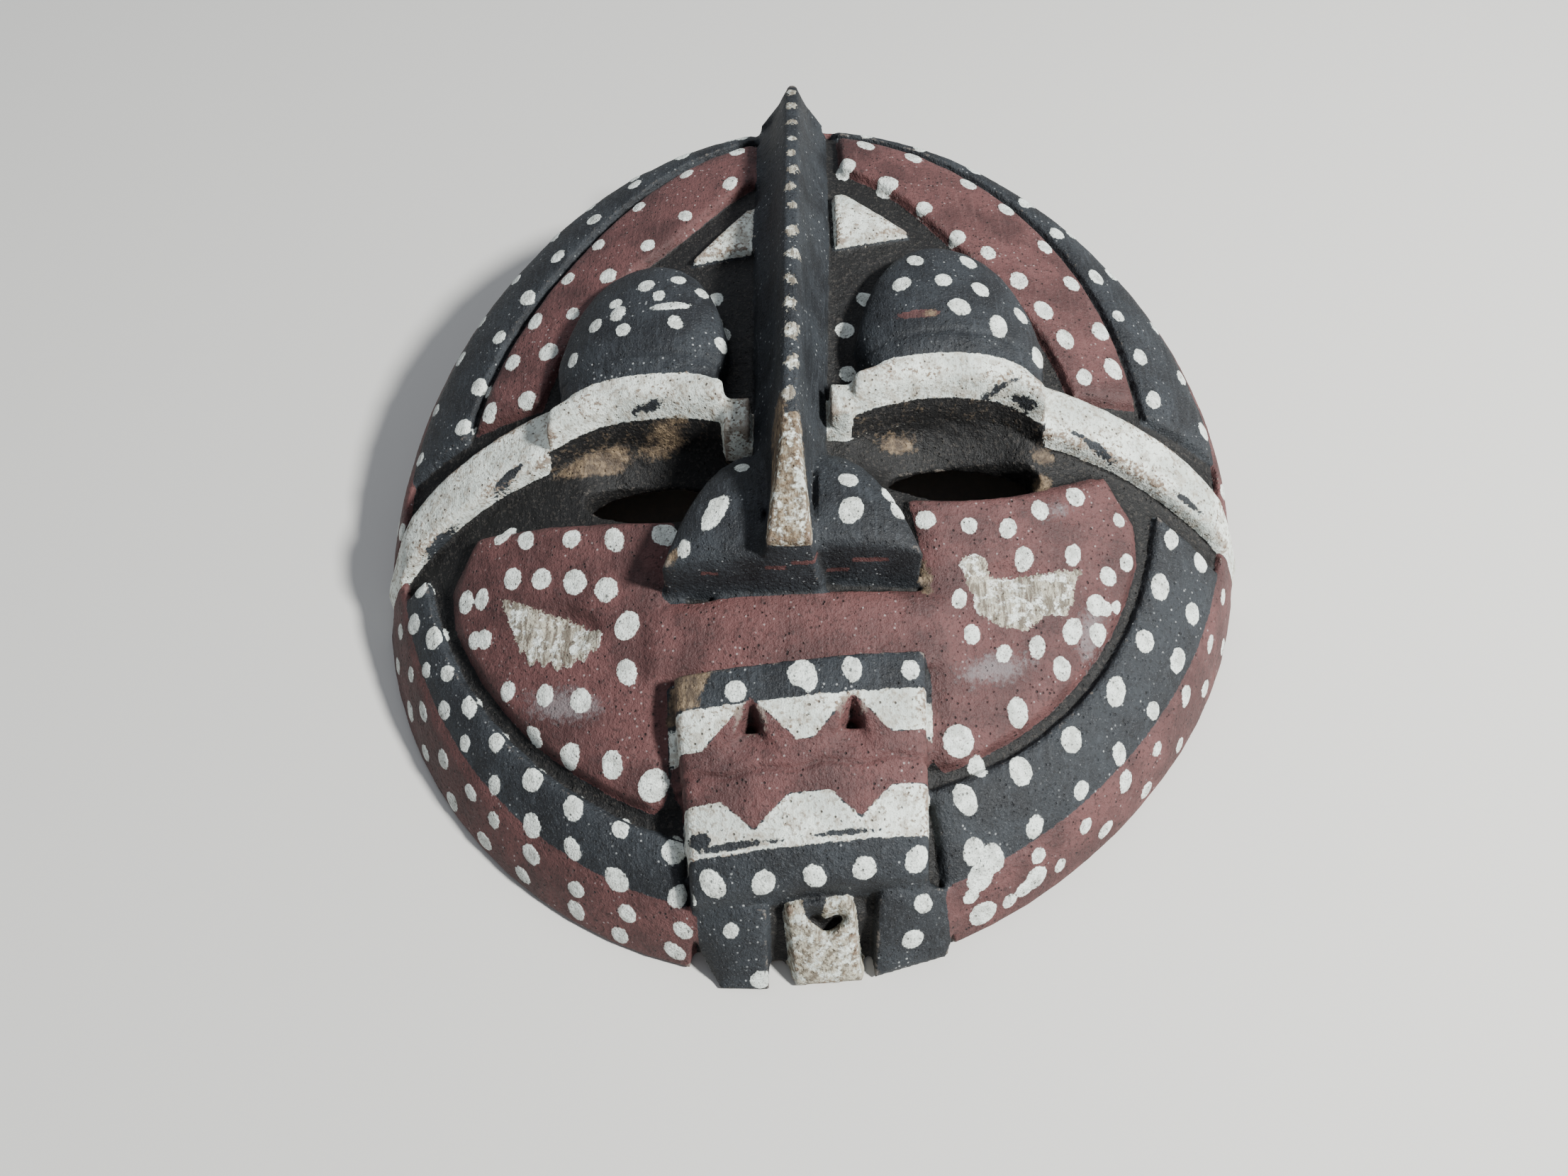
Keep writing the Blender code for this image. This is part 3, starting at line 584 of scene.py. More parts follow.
def inside_outline(plan, corners):
    """Distance inside a convex plan outline, corners listed anticlockwise."""
    inside = np.full(len(plan), FAR)
    for (ax, ay), (bx, by) in zip(corners, corners[1:] + corners[:1]):
        length = math.hypot(bx - ax, by - ay)
        area = (bx - ax) * (plan[:, 1] - ay) - (by - ay) * (plan[:, 0] - ax)
        inside = np.minimum(inside, area / length)
    return inside


def inside_shape(plan, corners):
    """Distance inside any plan outline: above 0 inside, below 0 outside."""
    nearest = np.full(len(plan), FAR)
    inside = np.zeros(len(plan), bool)
    for (ax, ay), (bx, by) in zip(corners, corners[1:] + corners[:1]):
        along = np.array((bx - ax, by - ay), float)
        offset = plan - (ax, ay)
        share = np.clip(offset @ along / (along @ along), 0.0, 1.0)
        nearest = np.minimum(nearest, np.linalg.norm(offset - share[:, None] * along, axis=1))
        crosses = (ay > plan[:, 1]) != (by > plan[:, 1])
        if by != ay:
            inside ^= crosses & (plan[:, 0] < (bx - ax) * (plan[:, 1] - ay) / (by - ay) + ax)
    return np.where(inside, nearest, -nearest)


def inside_ellipse(plan, middle, halves, degrees):
    """Nearly the distance inside an ellipse: above 0 inside, below 0 outside."""
    turn = math.radians(degrees)
    offset = plan - middle
    u = (offset[:, 0] * math.cos(turn) + offset[:, 1] * math.sin(turn)) / halves[0]
    v = (-offset[:, 0] * math.sin(turn) + offset[:, 1] * math.cos(turn)) / halves[1]
    return (1.0 - np.hypot(u, v)) * min(halves)


# Red points that run up into the upper teeth and down into the lower teeth.
RED_POINTS = (
    [(-21.0, -69.6), (-2.4, -67.4), (-11.4, -60.4)],
    [(-0.2, -67.6), (17.6, -67.0), (7.9, -59.4)],
    [(-10.6, -83.0), (-3.4, -76.0), (-17.8, -77.4)],
    [(9.4, -80.6), (16.6, -73.4), (2.2, -75.0)],
)
# Bare end grain beside the mouth, then the white end of the nose and the bare strip on it, all in plan.
# The last two count only above NOSE_TOP_Z, and NOSE_END_BARE caps how bare the nose end gets.
END_GRAIN = [(-28.0, -62.2), (-21.4, -61.4), (-18.6, -53.2), (-27.4, -54.6)]
NOSE_END = [(-9.0, -37.4), (1.0, -37.4), (-1.9, -12.0), (-6.2, -12.0)]
NOSE_BARE = [(-9.0, -24.0), (-6.0, -24.0), (-4.6, -7.0), (-6.8, -7.0)]
NOSE_TOP_Z = 52.6
NOSE_END_BARE = 0.05

# Holes cut under the two points of the upper teeth: the tip of each, then length, half width and depth,
# the width of the wall, and how far from the tip the sloping floor ends, as a share of the length.
TOOTH_HOLES = ((-11.4, -60.6), (7.9, -59.6))
TOOTH_HOLE_LONG = 5.4
TOOTH_HOLE_HALF = 3.4
TOOTH_HOLE_DEEP = 3.4
TOOTH_HOLE_WALL = (-0.1, 0.9)
TOOTH_HOLE_SLOPE = 0.6

# Bare patches in the eye hollows and elsewhere: middle, half sizes and direction.
BARE_PATCHES = (
    ((-45.6, -3.4), (8.6, 2.2), 14.0),
    ((-31.0, -0.6), (5.0, 1.0), 4.0),
    ((51.0, -1.6), (2.6, 1.8), -14.0),
    ((50.0, -8.4), (2.2, 3.0), -30.0),
    ((19.6, 0.4), (4.0, 1.4), 12.0),
    ((26.4, 21.4), (1.4, 0.9), 0.0),
    ((-26.6, -34.6), (1.6, 1.0), 30.0),
    ((23.6, -33.0), (1.4, 3.2), 0.0),
)

# The eye slits with a margin round them: middle, half sizes and direction. Their walls are black, with the
# darker painted shade of the sunk ground.
SLITS = (((33.4, -8.2), (18.4, 7.8), 5.0), ((-30.8, -13.0), (18.4, 7.8), -4.0))

# Places where the white has flaked off: middle, half sizes and direction.
FLAKED = (
    ((40.5, 6.6), (3.6, 0.45), 14.0),
    ((46.0, 4.6), (2.6, 0.45), -22.0),
    ((-33.0, 1.6), (3.0, 0.35), 4.0),
    ((62.0, -0.4), (5.0, 0.7), -21.0),
    ((84.0, -7.6), (3.4, 0.6), -22.0),
    ((-64.0, -6.4), (4.0, 0.8), 29.0),
    ((-80.0, -15.6), (4.4, 0.6), 30.0),
    ((-14.0, -85.4), (7.0, 0.7), 6.0),
    ((6.0, -83.2), (6.0, 0.5), 6.0),
    ((-20.6, -84.4), (2.2, 1.4), 0.0),
    ((0.6, -92.6), (2.2, 2.6), 0.0),
    ((1.0, -107.0), (3.4, 0.8), 0.0),
)
# The white of the small triangles stops this far inside their edges.
TRIANGLE_INSET = 0.7

# How high a brow bar's top stands over the face, how far down from it the white reaches, and the bare
# field below that, where wood shows only in spots.
BAR_TOP_RISE = 8.4
BAR_WHITE_DEEP = 5.6
BAR_FOOT_BARE = -0.5

# The line between the lips: its place at the middle, slope, depth, edge, and the wave in it with its rate
# in radians per millimetre.
LIP_CREASE_Y = -71.6
LIP_CREASE_SLOPE = 0.105
LIP_CREASE_DEEP = 0.55
LIP_CREASE_EDGE = (0.1, 1.0)
LIP_CREASE_WAVE = 0.5
LIP_CREASE_RATE = 0.5

# A shallow crease in each dome above the brow bar, with rougher wood below it.
CREASE_ABOVE = 5.6
CREASE_FLAT = 0.2
CREASE_HALF = 1.3
CREASE_DEEP = 0.35

# Places where the red has worn to grey, and a smear of red on a dome: middle, half sizes and direction.
GREY_PATCHES = (
    ((-49.0, -56.0), (11.0, 4.4), -12.0),
    ((37.0, -50.0), (11.0, 4.0), 16.0),
    ((58.0, -40.0), (4.0, 8.0), -16.0),
    ((52.0, -16.0), (7.0, 2.4), 20.0),
)
RED_SMEARS = (((23.6, 21.2), (5.0, 1.2), 4.0),)
# Red strokes on the front of the nose: left end, right end and height.
RED_STROKES = (
    (8.4, 15.6, 44.0),
    (3.4, 8.0, 40.6),
    (-21.4, -18.0, 43.0),
    (-3.6, 1.6, 47.0),
    (-8.6, -4.6, 45.4),
)
RED_STROKE_HALF = 0.65
RED_STROKES_Y = (-39.0, -30.0)

# The comb of cuts along the lower edge of the left cheek's white field: depth, radians per millimetre, fade.
COMB_DEEP = 0.7
COMB_RATE = 2.2
COMB_FADE = (41.0, 45.0)

# The aged white of the cheeks takes in this much round the white fields and the dots.
NEAR_LEAF = -0.5
NEAR_DOT = -0.5

# The hollow: points that face down, lie this far inside the rim and this far under the face.
FACES_DOWN = -0.05
HOLLOW_IN = 5.0
HOLLOW_UNDER = 5.0
NOT_HOLLOW = -6.0
HOLLOW_BLEND = 4.0

# The foot ring inside the rim, which rests on the table and is bare as the hollow is.
FOOT_TOP = 1.0
FOOT_IN = 3.0
FOOT_BACK = 3.0

# A point whose depth under the face is less than this stands out of it.
STANDS_OUT = -1.0

# The carver's marks, in millimetres: height, then size. GOUGE_MEAN is about the mean of a gouge field.
WAVE = (0.12, 9.0)
FINE_WAVE = (0.05, 1.6)
FACET_DEEP = 0.10
FACET_SIZE = (7.0, 11.0)
GOUGE_DEEP = 1.5
GOUGE_SIZE = (8.0, 15.0)
GOUGE_MEAN = 0.2
BACK_WAVE = (0.35, 14.0)
SHELL_ROUGH = (0.16, 2.4)
DOME_ROUGH = (0.20, 1.8)
MARKS_FADE_AT_FOOT = 2.0

# Paint dabs stand up by this much, over an edge this wide, and with this share and size of unevenness.
DAB_RAISE = 0.16
DAB_EDGE = (-0.15, 0.5)
DAB_UNEVEN = (0.4, 1.4)


# ---------------------------------------------------------------- build the skin and its fields

skin = Skin(remeshed(block(), VOXEL))
skin.smooth(SMOOTH_ROUNDS, SMOOTH_CAP)
owner = nearest_node(skin.points)
plan = skin.points[:, :2].copy()
height = skin.points[:, 2]
below_face = face_height(plan[:, 0], plan[:, 1]) - height
radius = np.hypot(plan[:, 0], plan[:, 1])
rim = rim_radius(np.arctan2(plan[:, 1], plan[:, 0]))
is_shell = owner == NODES.index("shell")
facing_down = skin.normals()[:, 2] < FACES_DOWN
in_hollow = (radius < rim - HOLLOW_IN) & is_shell & facing_down
back = np.where(in_hollow, below_face - HOLLOW_UNDER, NOT_HOLLOW)
back = np.where((height < FOOT_TOP) & (radius < rim - FOOT_IN) & facing_down, FOOT_BACK, back)

black, red, white = (distance_to(paint, skin.points) for paint in ("black", "red", "white"))
shell_distance = distance_to("wood", skin.points)
dark = np.minimum(black, shell_distance)
eye_holes = np.maximum(inside_ellipse(plan, *SLITS[0]), inside_ellipse(plan, *SLITS[1]))
in_slit = (eye_holes > 0.0) & is_shell
# The slit walls count as sunk front ground, so they take the black with its painted shade, not the wood of
# the hollow.
back = np.where(in_slit, NOT_HOLLOW, back)
red_field = np.minimum(dark, white) - red
white_field = np.minimum(dark, red) - white
# Added to a field, these leave it as it is in one place and take it away everywhere else.
on_mouth = np.where(below_face < STANDS_OUT, 0.0, OUTSIDE)
on_nose_top = np.where(height > NOSE_TOP_Z, 0.0, OUTSIDE)
for corners in RED_POINTS:
    inside = inside_outline(plan, corners) + on_mouth
    red_field = np.maximum(red_field, inside)
    white_field = np.minimum(white_field, -inside)
for patch in RED_SMEARS:
    red_field = np.maximum(red_field, inside_ellipse(plan, *patch))
white_field = np.maximum(white_field, inside_outline(plan, NOSE_END) + on_nose_top)
for left, right, level in RED_STROKES:
    across = np.minimum(plan[:, 0] - left, right - plan[:, 0])
    inside = np.minimum(across, RED_STROKE_HALF - np.abs(height - level))
    on_nose_front = (plan[:, 1] < RED_STROKES_Y[1]) & (plan[:, 1] > RED_STROKES_Y[0])
    red_field = np.maximum(red_field, np.where(on_nose_front, inside, OUTSIDE))
bare_field = np.where(back > 0, WITHIN, WITHOUT)
for patch in BARE_PATCHES:
    bare_field = np.maximum(bare_field, inside_ellipse(plan, *patch))
bare_field = np.maximum(bare_field, inside_outline(plan, END_GRAIN))
bare_field = np.maximum(bare_field, inside_outline(plan, NOSE_BARE) + on_nose_top)
nose_end = inside_outline(plan, NOSE_END) + on_nose_top
bare_field = np.maximum(bare_field, np.minimum(nose_end, NOSE_END_BARE))
grey_field = np.full(len(plan), WITHOUT)
for patch in GREY_PATCHES:
    grey_field = np.maximum(grey_field, inside_ellipse(plan, *patch))
dots = dot_field(skin, skin.normals())
on_cheek = np.isin(owner, [NODES.index("cheek_left"), NODES.index("cheek_right")])
comb = COMB_DEEP * np.sin(plan[:, 0] * COMB_RATE) * step(-plan[:, 1], *COMB_FADE)
leaf_field = np.maximum(inside_shape(plan, LEFT_LEAF), inside_shape(plan, RIGHT_LEAF))
dots = np.maximum(dots, np.where(on_cheek, leaf_field + comb * (plan[:, 0] < 0.0), OUTSIDE))
inside_leaf = leaf_field > NEAR_LEAF
# Painted shade: the sunk front ground of the shell is marked here, and its black is painted darker as shade
# in the recesses.
recess_shade = np.where(is_shell & (back < 0.0), 1.0, 0.0)
for side in ("left", "right"):
    on_bar = owner == NODES.index("brow_bar_" + side)
    wall = -below_face - BAR_TOP_RISE + BAR_WHITE_DEEP
    white_field = np.where(on_bar, np.minimum(white_field, wall), white_field)
    bare_field = np.where(on_bar & (wall < 0.0), np.maximum(bare_field, BAR_FOOT_BARE), bare_field)
    # Painted shade: the foot of each brow bar under its white gets the same darker black, as shade under the
    # bar.
    recess_shade = np.where(on_bar & (wall < 0.0), 1.0, recess_shade)
for patch in FLAKED:
    white_field = np.minimum(white_field, -inside_ellipse(plan, *patch))
on_triangle = np.isin(owner, [NODES.index("triangle_left"), NODES.index("triangle_right")])
white_field -= np.where(on_triangle, TRIANGLE_INSET, 0.0)
on_worn_node = np.isin(owner, [NODES.index("crest"), NODES.index("chin_lug")])
aged = np.where(on_worn_node | (dots > NEAR_DOT) & on_cheek & inside_leaf, 1.0, 0.0)

# Carver's marks: slow waves and shallow facets in front, deep gouge strokes in the hollow.
normals = skin.normals()
on_back = step(back, 0.0, HOLLOW_BLEND)
front_marks = WAVE[0] * layered_noise(skin.points, WAVE[1], 3)
front_marks = front_marks + FINE_WAVE[0] * layered_noise(skin.points, FINE_WAVE[1], 9)
front_marks -= FACET_DEEP * (gouges(plan, np.array(FACET_SIZE), 5) - GOUGE_MEAN)
back_marks = GOUGE_DEEP * (gouges(plan, np.array(GOUGE_SIZE), 17) - GOUGE_MEAN)
back_marks = back_marks + BACK_WAVE[0] * layered_noise(skin.points, BACK_WAVE[1], 23)
rough = is_shell & (back < 0)
front_marks += np.where(rough, SHELL_ROUGH[0] * layered_noise(skin.points, SHELL_ROUGH[1], 31), 0.0)
on_lips = owner == NODES.index("mouth_lips")
crease_wave = LIP_CREASE_WAVE * np.sin(plan[:, 0] * LIP_CREASE_RATE)
from_crease = np.abs(plan[:, 1] - LIP_CREASE_Y - LIP_CREASE_SLOPE * plan[:, 0] - crease_wave)
front_marks -= np.where(on_lips, LIP_CREASE_DEEP * (1.0 - step(from_crease, *LIP_CREASE_EDGE)), 0.0)
for side in ("left", "right"):
    on_dome = owner == NODES.index("brow_dome_" + side)
    bar_tree, _ = tree_of(["brow_bar_" + side])
    from_bar = np.full(len(plan), FAR)
    from_bar[on_dome] = [bar_tree.find_nearest(point)[3] for point in skin.points[on_dome].tolist()]
    front_marks -= CREASE_DEEP * (1.0 - step(np.abs(from_bar - CREASE_ABOVE), CREASE_FLAT, CREASE_HALF))
    dome_rough = DOME_ROUGH[0] * layered_noise(skin.points, DOME_ROUGH[1], 43)
    front_marks += np.where(from_bar < CREASE_ABOVE, dome_rough, 0.0)
uneven = 1.0 + DAB_UNEVEN[0] * value_noise(skin.points, DAB_UNEVEN[1], 37)
raised = DAB_RAISE * step(dots, *DAB_EDGE) * uneven
move = (1.0 - on_back) * (front_marks + raised) + on_back * back_marks
foot = np.clip(height / MARKS_FADE_AT_FOOT, 0.0, 1.0)
skin.points += normals * (move * foot)[:, None]
for x, y in TOOTH_HOLES:
    low = y - TOOTH_HOLE_LONG
    corners = [(x - TOOTH_HOLE_HALF, low), (x + TOOTH_HOLE_HALF, low), (x, y)]
    depth = TOOTH_HOLE_DEEP * step(inside_outline(plan, corners), *TOOTH_HOLE_WALL) * (on_mouth == 0.0)
    skin.points[:, 2] -= depth * step(plan[:, 1], low, y - TOOTH_HOLE_SLOPE * TOOTH_HOLE_LONG)
skin.points[:, 2] = np.maximum(skin.points[:, 2], 0.0)
ridge = skin.bulge(RIDGE_ROUNDS)
ridge = skin.averaged(ridge)

FIELDS = {
    "red": red_field,
    "white": white_field,
    "bare": bare_field,
    "grey": grey_field,
    "dots": dots,
    "ridge": ridge,
    "back": on_back,
    "recess_shade": recess_shade,
    "aged": aged,
}


# ---------------------------------------------------------------- materials

PATTERN_SHIFT = (37.0, 11.0, 5.0)
ALONG_GRAIN = (1.0, 0.10, 1.0)
BUMP_DEEP = 0.55


class Graph:
    """Small helpers that add shader nodes and return their outputs."""

    def __init__(self, name):
        self.material = bpy.data.materials.new(name)
        self.material.use_nodes = True
        self.nodes = self.material.node_tree.nodes
        self.links = self.material.node_tree.links
        self.shader = self.nodes["Principled BSDF"]

    def put(self, socket, value):
        if isinstance(value, bpy.types.NodeSocket):
            self.links.new(value, socket)
        else:
            socket.default_value = value

    def field(self, name):
        node = self.nodes.new("ShaderNodeAttribute")
        node.attribute_name = name
        return node.outputs["Fac"]

    def place(self, stretch=(1.0, 1.0, 1.0)):
        """Object coordinates in millimetres, stretched."""
        node = self.nodes.new("ShaderNodeVectorMath")
        node.operation = "MULTIPLY"
        self.put(node.inputs[0], self.nodes.new("ShaderNodeTexCoord").outputs["Object"])
        node.inputs[1].default_value = [s / MM for s in stretch]
        return node.outputs[0]

    def noise(self, place, scale, detail=3.0, roughness=0.55):
        node = self.nodes.new("ShaderNodeTexNoise")
        self.put(node.inputs["Vector"], place)
        node.inputs["Scale"].default_value = scale
        node.inputs["Detail"].default_value = detail
        node.inputs["Roughness"].default_value = roughness
        return node.outputs["Fac"]

    def pits(self, place, scale, small, large):
        """1 in small round pits scattered over the surface, 0 between them."""
        node = self.nodes.new("ShaderNodeTexVoronoi")
        self.put(node.inputs["Vector"], place)
        node.inputs["Scale"].default_value = scale
        return self.maths("SUBTRACT", 1.0, self.step(node.outputs["Distance"], small, large))

    def shifted(self, place):
        """The same coordinates moved away, so that a second pattern doesn't lie over the first."""
        node = self.nodes.new("ShaderNodeVectorMath")
        self.put(node.inputs[0], place)
        node.inputs[1].default_value = PATTERN_SHIFT
        return node.outputs[0]

    def maths(self, operation, a, b=0.0, c=0.0):
        node = self.nodes.new("ShaderNodeMath")
        node.operation = operation
        for socket, value in zip(node.inputs, (a, b, c)):
            self.put(socket, value)
        return node.outputs[0]

    def step(self, value, low, high, top=1.0):
        node = self.nodes.new("ShaderNodeMapRange")
        node.interpolation_type = "SMOOTHSTEP"
        self.put(node.inputs["Value"], value)
        node.inputs["From Min"].default_value = low
        node.inputs["From Max"].default_value = high
        node.inputs["To Max"].default_value = top
        return node.outputs["Result"]

    def mix(self, share, a, b):
        """Two colours mixed: a at share 0 and b at share 1."""
        node = self.nodes.new("ShaderNodeMix")
        node.data_type = "RGBA"
        self.put(node.inputs[0], share)
        self.put(node.inputs[6], (*a, 1.0) if isinstance(a, tuple) else a)
        self.put(node.inputs[7], (*b, 1.0) if isinstance(b, tuple) else b)
        return node.outputs[2]

    def blend(self, share, a, b):
        """Two numbers mixed: a at share 0 and b at share 1."""
        node = self.nodes.new("ShaderNodeMix")
        self.put(node.inputs[0], share)
        self.put(node.inputs[2], a)
        self.put(node.inputs[3], b)
        return node.outputs[0]


def carved_material(name):
    """Earth paints on carved wood, with shade painted into recesses and creases. The fields on the mesh say
    where each paint and the painted shade lie.
    """
    g = Graph(name)
    here = g.place()
    grain = g.place(ALONG_GRAIN)
    slow = g.noise(here, 0.09, 4.0)
    middle = g.noise(here, 0.42, 4.0, 0.6)
    fine = g.noise(here, 1.25, 3.0, 0.6)
    finest = g.noise(here, 2.7, 2.0, 0.6)
    streaks = g.noise(grain, 1.0, 4.0, 0.65)
    wide_wander = g.maths("MULTIPLY_ADD", middle, 1.3, -0.65)
    small_wander = g.maths("MULTIPLY_ADD", fine, 1.5, -0.75)
    ragged = g.maths("ADD", wide_wander, small_wander)
    ridge = g.field("ridge")
    pores = g.maths("MULTIPLY", g.pits(here, 0.75, 0.10, 0.24), g.step(middle, 0.44, 0.56))
    dust = g.maths("MULTIPLY", g.pits(g.shifted(here), 0.62, 0.07, 0.19), g.step(slow, 0.44, 0.60))

    black = g.mix(g.step(slow, 0.36, 0.64), (0.0085, 0.0097, 0.012), (0.021, 0.0245, 0.029))
    black = g.mix(g.step(streaks, 0.50, 0.72, 0.40), black, (0.048, 0.054, 0.062))
    black = g.mix(g.step(fine, 0.54, 0.65, 0.60), black, (0.0050, 0.0050, 0.0055))
    black = g.mix(g.step(finest, 0.60, 0.70, 0.50), black, (0.085, 0.090, 0.096))
    black = g.mix(g.maths("MULTIPLY", dust, 0.8), black, (0.36, 0.37, 0.37))
    # Painted shade: a darker black for the sunk ground and the brow bar feet, standing in for the shade that
    # falls in these recesses.
    recess_shade_black = g.mix(g.step(fine, 0.53, 0.66), (0.0055, 0.0052, 0.0052), (0.030, 0.026, 0.023))
    black = g.mix(g.field("recess_shade"), black, recess_shade_black)

    red = g.mix(g.step(slow, 0.36, 0.64), (0.056, 0.023, 0.022), (0.108, 0.044, 0.042))
    red = g.mix(g.step(streaks, 0.50, 0.74, 0.35), red, (0.150, 0.074, 0.070))
    red = g.mix(g.step(middle, 0.54, 0.70, 0.45), red, (0.044, 0.022, 0.022))
    red = g.mix(g.step(fine, 0.55, 0.65, 0.55), red, (0.022, 0.011, 0.010))
    red = g.mix(g.maths("MULTIPLY", pores, 0.9), red, (0.012, 0.007, 0.007))
    red = g.mix(g.maths("MULTIPLY", dust, 0.55), red, (0.42, 0.36, 0.35))
    grey_wander = g.maths("MULTIPLY", ragged, 3.6)
    worn_grey = g.step(g.maths("ADD", g.field("grey"), grey_wander), 0.4, 3.4, 0.60)
    red = g.mix(worn_grey, red, (0.205, 0.180, 0.185))

    white = g.mix(g.step(slow, 0.38, 0.62), (0.52, 0.555, 0.51), (0.76, 0.80, 0.735))
    white = g.mix(g.step(streaks, 0.50, 0.74, 0.5), white, (0.38, 0.36, 0.33))
    white = g.mix(g.step(middle, 0.48, 0.62, 0.62), white, (0.34, 0.30, 0.24))
    white = g.mix(g.step(fine, 0.53, 0.63, 0.62), white, (0.20, 0.155, 0.115))
    white = g.mix(g.maths("MULTIPLY", pores, 0.85), white, (0.060, 0.042, 0.032))
    stained = g.mix(g.step(streaks, 0.42, 0.58), (0.40, 0.37, 0.29), (0.125, 0.100, 0.072))
    stain_share = g.step(g.maths("ADD", middle, g.maths("MULTIPLY", fine, 0.5)), 0.60, 0.76, 0.95)
    white = g.mix(g.maths("MULTIPLY", g.field("aged"), stain_share), white, stained)
    rust = g.step(g.maths("ADD", ridge, g.maths("MULTIPLY_ADD", fine, 0.9, -0.45)), 0.10, 0.24, 0.75)
    white = g.mix(g.maths("MULTIPLY", rust, g.step(slow, 0.42, 0.56)), white, (0.150, 0.085, 0.050))

    wood = g.mix(g.step(middle, 0.36, 0.64), (0.070, 0.050, 0.034), (0.21, 0.150, 0.092))
    wood = g.mix(g.step(streaks, 0.46, 0.60, 0.6), wood, (0.060, 0.042, 0.030))
    wood = g.mix(g.step(fine, 0.54, 0.66, 0.7), wood, (0.030, 0.020, 0.014))
    inside = g.mix(g.step(slow, 0.38, 0.64), (0.115, 0.066, 0.038), (0.23, 0.145, 0.090))
    inside = g.mix(g.step(streaks, 0.45, 0.66, 0.7), inside, (0.075, 0.043, 0.026))
    inside = g.mix(g.maths("MULTIPLY", pores, 0.7), inside, (0.030, 0.018, 0.012))
    wood = g.mix(g.field("back"), wood, inside)

    def edge_of(field, wander, low=-0.10, high=0.10):
        """1 inside the field and 0 outside it, with an uneven brushed edge."""
        return g.step(g.maths("ADD", g.field(field), g.maths("MULTIPLY", ragged, wander)), low, high)

    colour = g.mix(edge_of("red", 0.75), black, red)
    is_white = edge_of("white", 0.85)
    colour = g.mix(is_white, colour, white)
    is_bare = edge_of("bare", 1.6, -0.4, 0.6)
    colour = g.mix(is_bare, colour, wood)

    worn = g.step(g.maths("ADD", ridge, g.maths("MULTIPLY_ADD", fine, 0.5, -0.25)), 0.24, 0.40, 0.55)
    worn = g.maths("MULTIPLY", worn, g.step(middle, 0.46, 0.58))
    colour = g.mix(worn, colour, (0.235, 0.200, 0.170))
    thin = g.step(finest, 0.55, 0.66, 0.65)
    dot_wander = g.maths("MULTIPLY", ragged, g.maths("MULTIPLY_ADD", g.field("aged"), 1.3, 0.55))
    dot_edge = g.step(g.maths("ADD", g.field("dots"), dot_wander), -0.06, 0.14)
    dot = g.mix(g.step(middle, 0.42, 0.62), (0.74, 0.78, 0.73), (0.50, 0.52, 0.48))
    dot = g.mix(g.maths("MULTIPLY", pores, 0.7), dot, (0.10, 0.09, 0.08))
    dot = g.mix(g.maths("MULTIPLY", g.field("aged"), stain_share), dot, stained)
    dot_share = g.maths("MULTIPLY", dot_edge, g.maths("SUBTRACT", 1.0, thin))
    colour = g.mix(dot_share, colour, dot)
    # Painted shade: points that lie sunk below their surroundings are darkened towards near black, as shade
    # in creases and corners.
    painted_crevice_shade = g.step(g.maths("MULTIPLY", ridge, -1.0), 0.10, 0.50, 0.80)
    colour = g.mix(painted_crevice_shade, colour, (0.010, 0.009, 0.008))
    g.put(g.shader.inputs["Base Color"], colour)

    rough = g.blend(is_white, g.maths("MULTIPLY_ADD", slow, 0.30, 0.46), 0.88)
    rough = g.blend(dot_edge, rough, 0.80)
    g.put(g.shader.inputs["Roughness"], g.maths("MULTIPLY_ADD", fine, 0.12, rough))
    g.shader.inputs["Specular IOR Level"].default_value = 0.34

    bump = g.nodes.new("ShaderNodeBump")
    relief = g.maths("ADD", g.maths("MULTIPLY", fine, 0.6), g.maths("MULTIPLY", finest, 0.35))
    relief = g.maths("ADD", relief, g.maths("MULTIPLY", streaks, 0.40))
    relief = g.maths("ADD", relief, g.maths("MULTIPLY", middle, 0.5))
    g.put(bump.inputs["Height"], g.maths("SUBTRACT", relief, g.maths("MULTIPLY", pores, 0.6)))
    bump.inputs["Strength"].default_value = 0.9
    bump.inputs["Distance"].default_value = BUMP_DEEP * MM
    g.put(g.shader.inputs["Normal"], bump.outputs["Normal"])
    return g.material


MATERIALS = {slot: carved_material(slot) for slot in PAINT_OF_SLOT}


# ---------------------------------------------------------------- one piece for each CAD part


def face_owner():
    """The part of each face, with the ragged borders between parts evened out."""
    corner = owner[skin.faces]
    best = corner[:, 0].copy()
    votes = (corner == best[:, None]).sum(1)
    for k in (1, 2, 3):
        other = (corner == corner[:, k:k + 1]).sum(1)
        better = other > votes
        best[better] = corner[better, k]
        votes = np.maximum(votes, other)
    return best


def piece(node, faces, normals):
    """The carved piece in place of one CAD part. It takes the whole skin's normals, so that no seam shows."""
    used = np.unique(faces)
    number = np.full(len(skin.points), -1)
    number[used] = np.arange(len(used))
    mesh = bpy.data.meshes.new(node + "_carved")
    mesh.vertices.add(len(used))
    mesh.vertices.foreach_set("co", ((skin.points[used] + FOOT_MIDDLE) * MM).ravel())
    mesh.loops.add(faces.size)
    mesh.loops.foreach_set("vertex_index", number[faces].ravel())
    mesh.polygons.add(len(faces))
    mesh.polygons.foreach_set("loop_start", np.arange(len(faces)) * 4)
    mesh.update(calc_edges=True)
    mesh.shade_smooth()
    for name, values in FIELDS.items():
        mesh.attributes.new(name, "FLOAT", "POINT").data.foreach_set("value", values[used])
    mesh.normals_split_custom_set_from_vertices(normals[used].tolist())
    slot = SLOT_OF_NODE[node]
    mesh.materials.append(MATERIALS[slot])
    made = bpy.data.objects.new(node + "_carved", mesh)
    bpy.context.scene.collection.objects.link(made)
    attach(made, "root")
    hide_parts(node)


FINAL_NORMALS = skin.normals()
OWNERS = face_owner()
for index, node in enumerate(NODES):
    piece(node, skin.faces[OWNERS == index], FINAL_NORMALS)


# ---------------------------------------------------------------- floor, light and camera


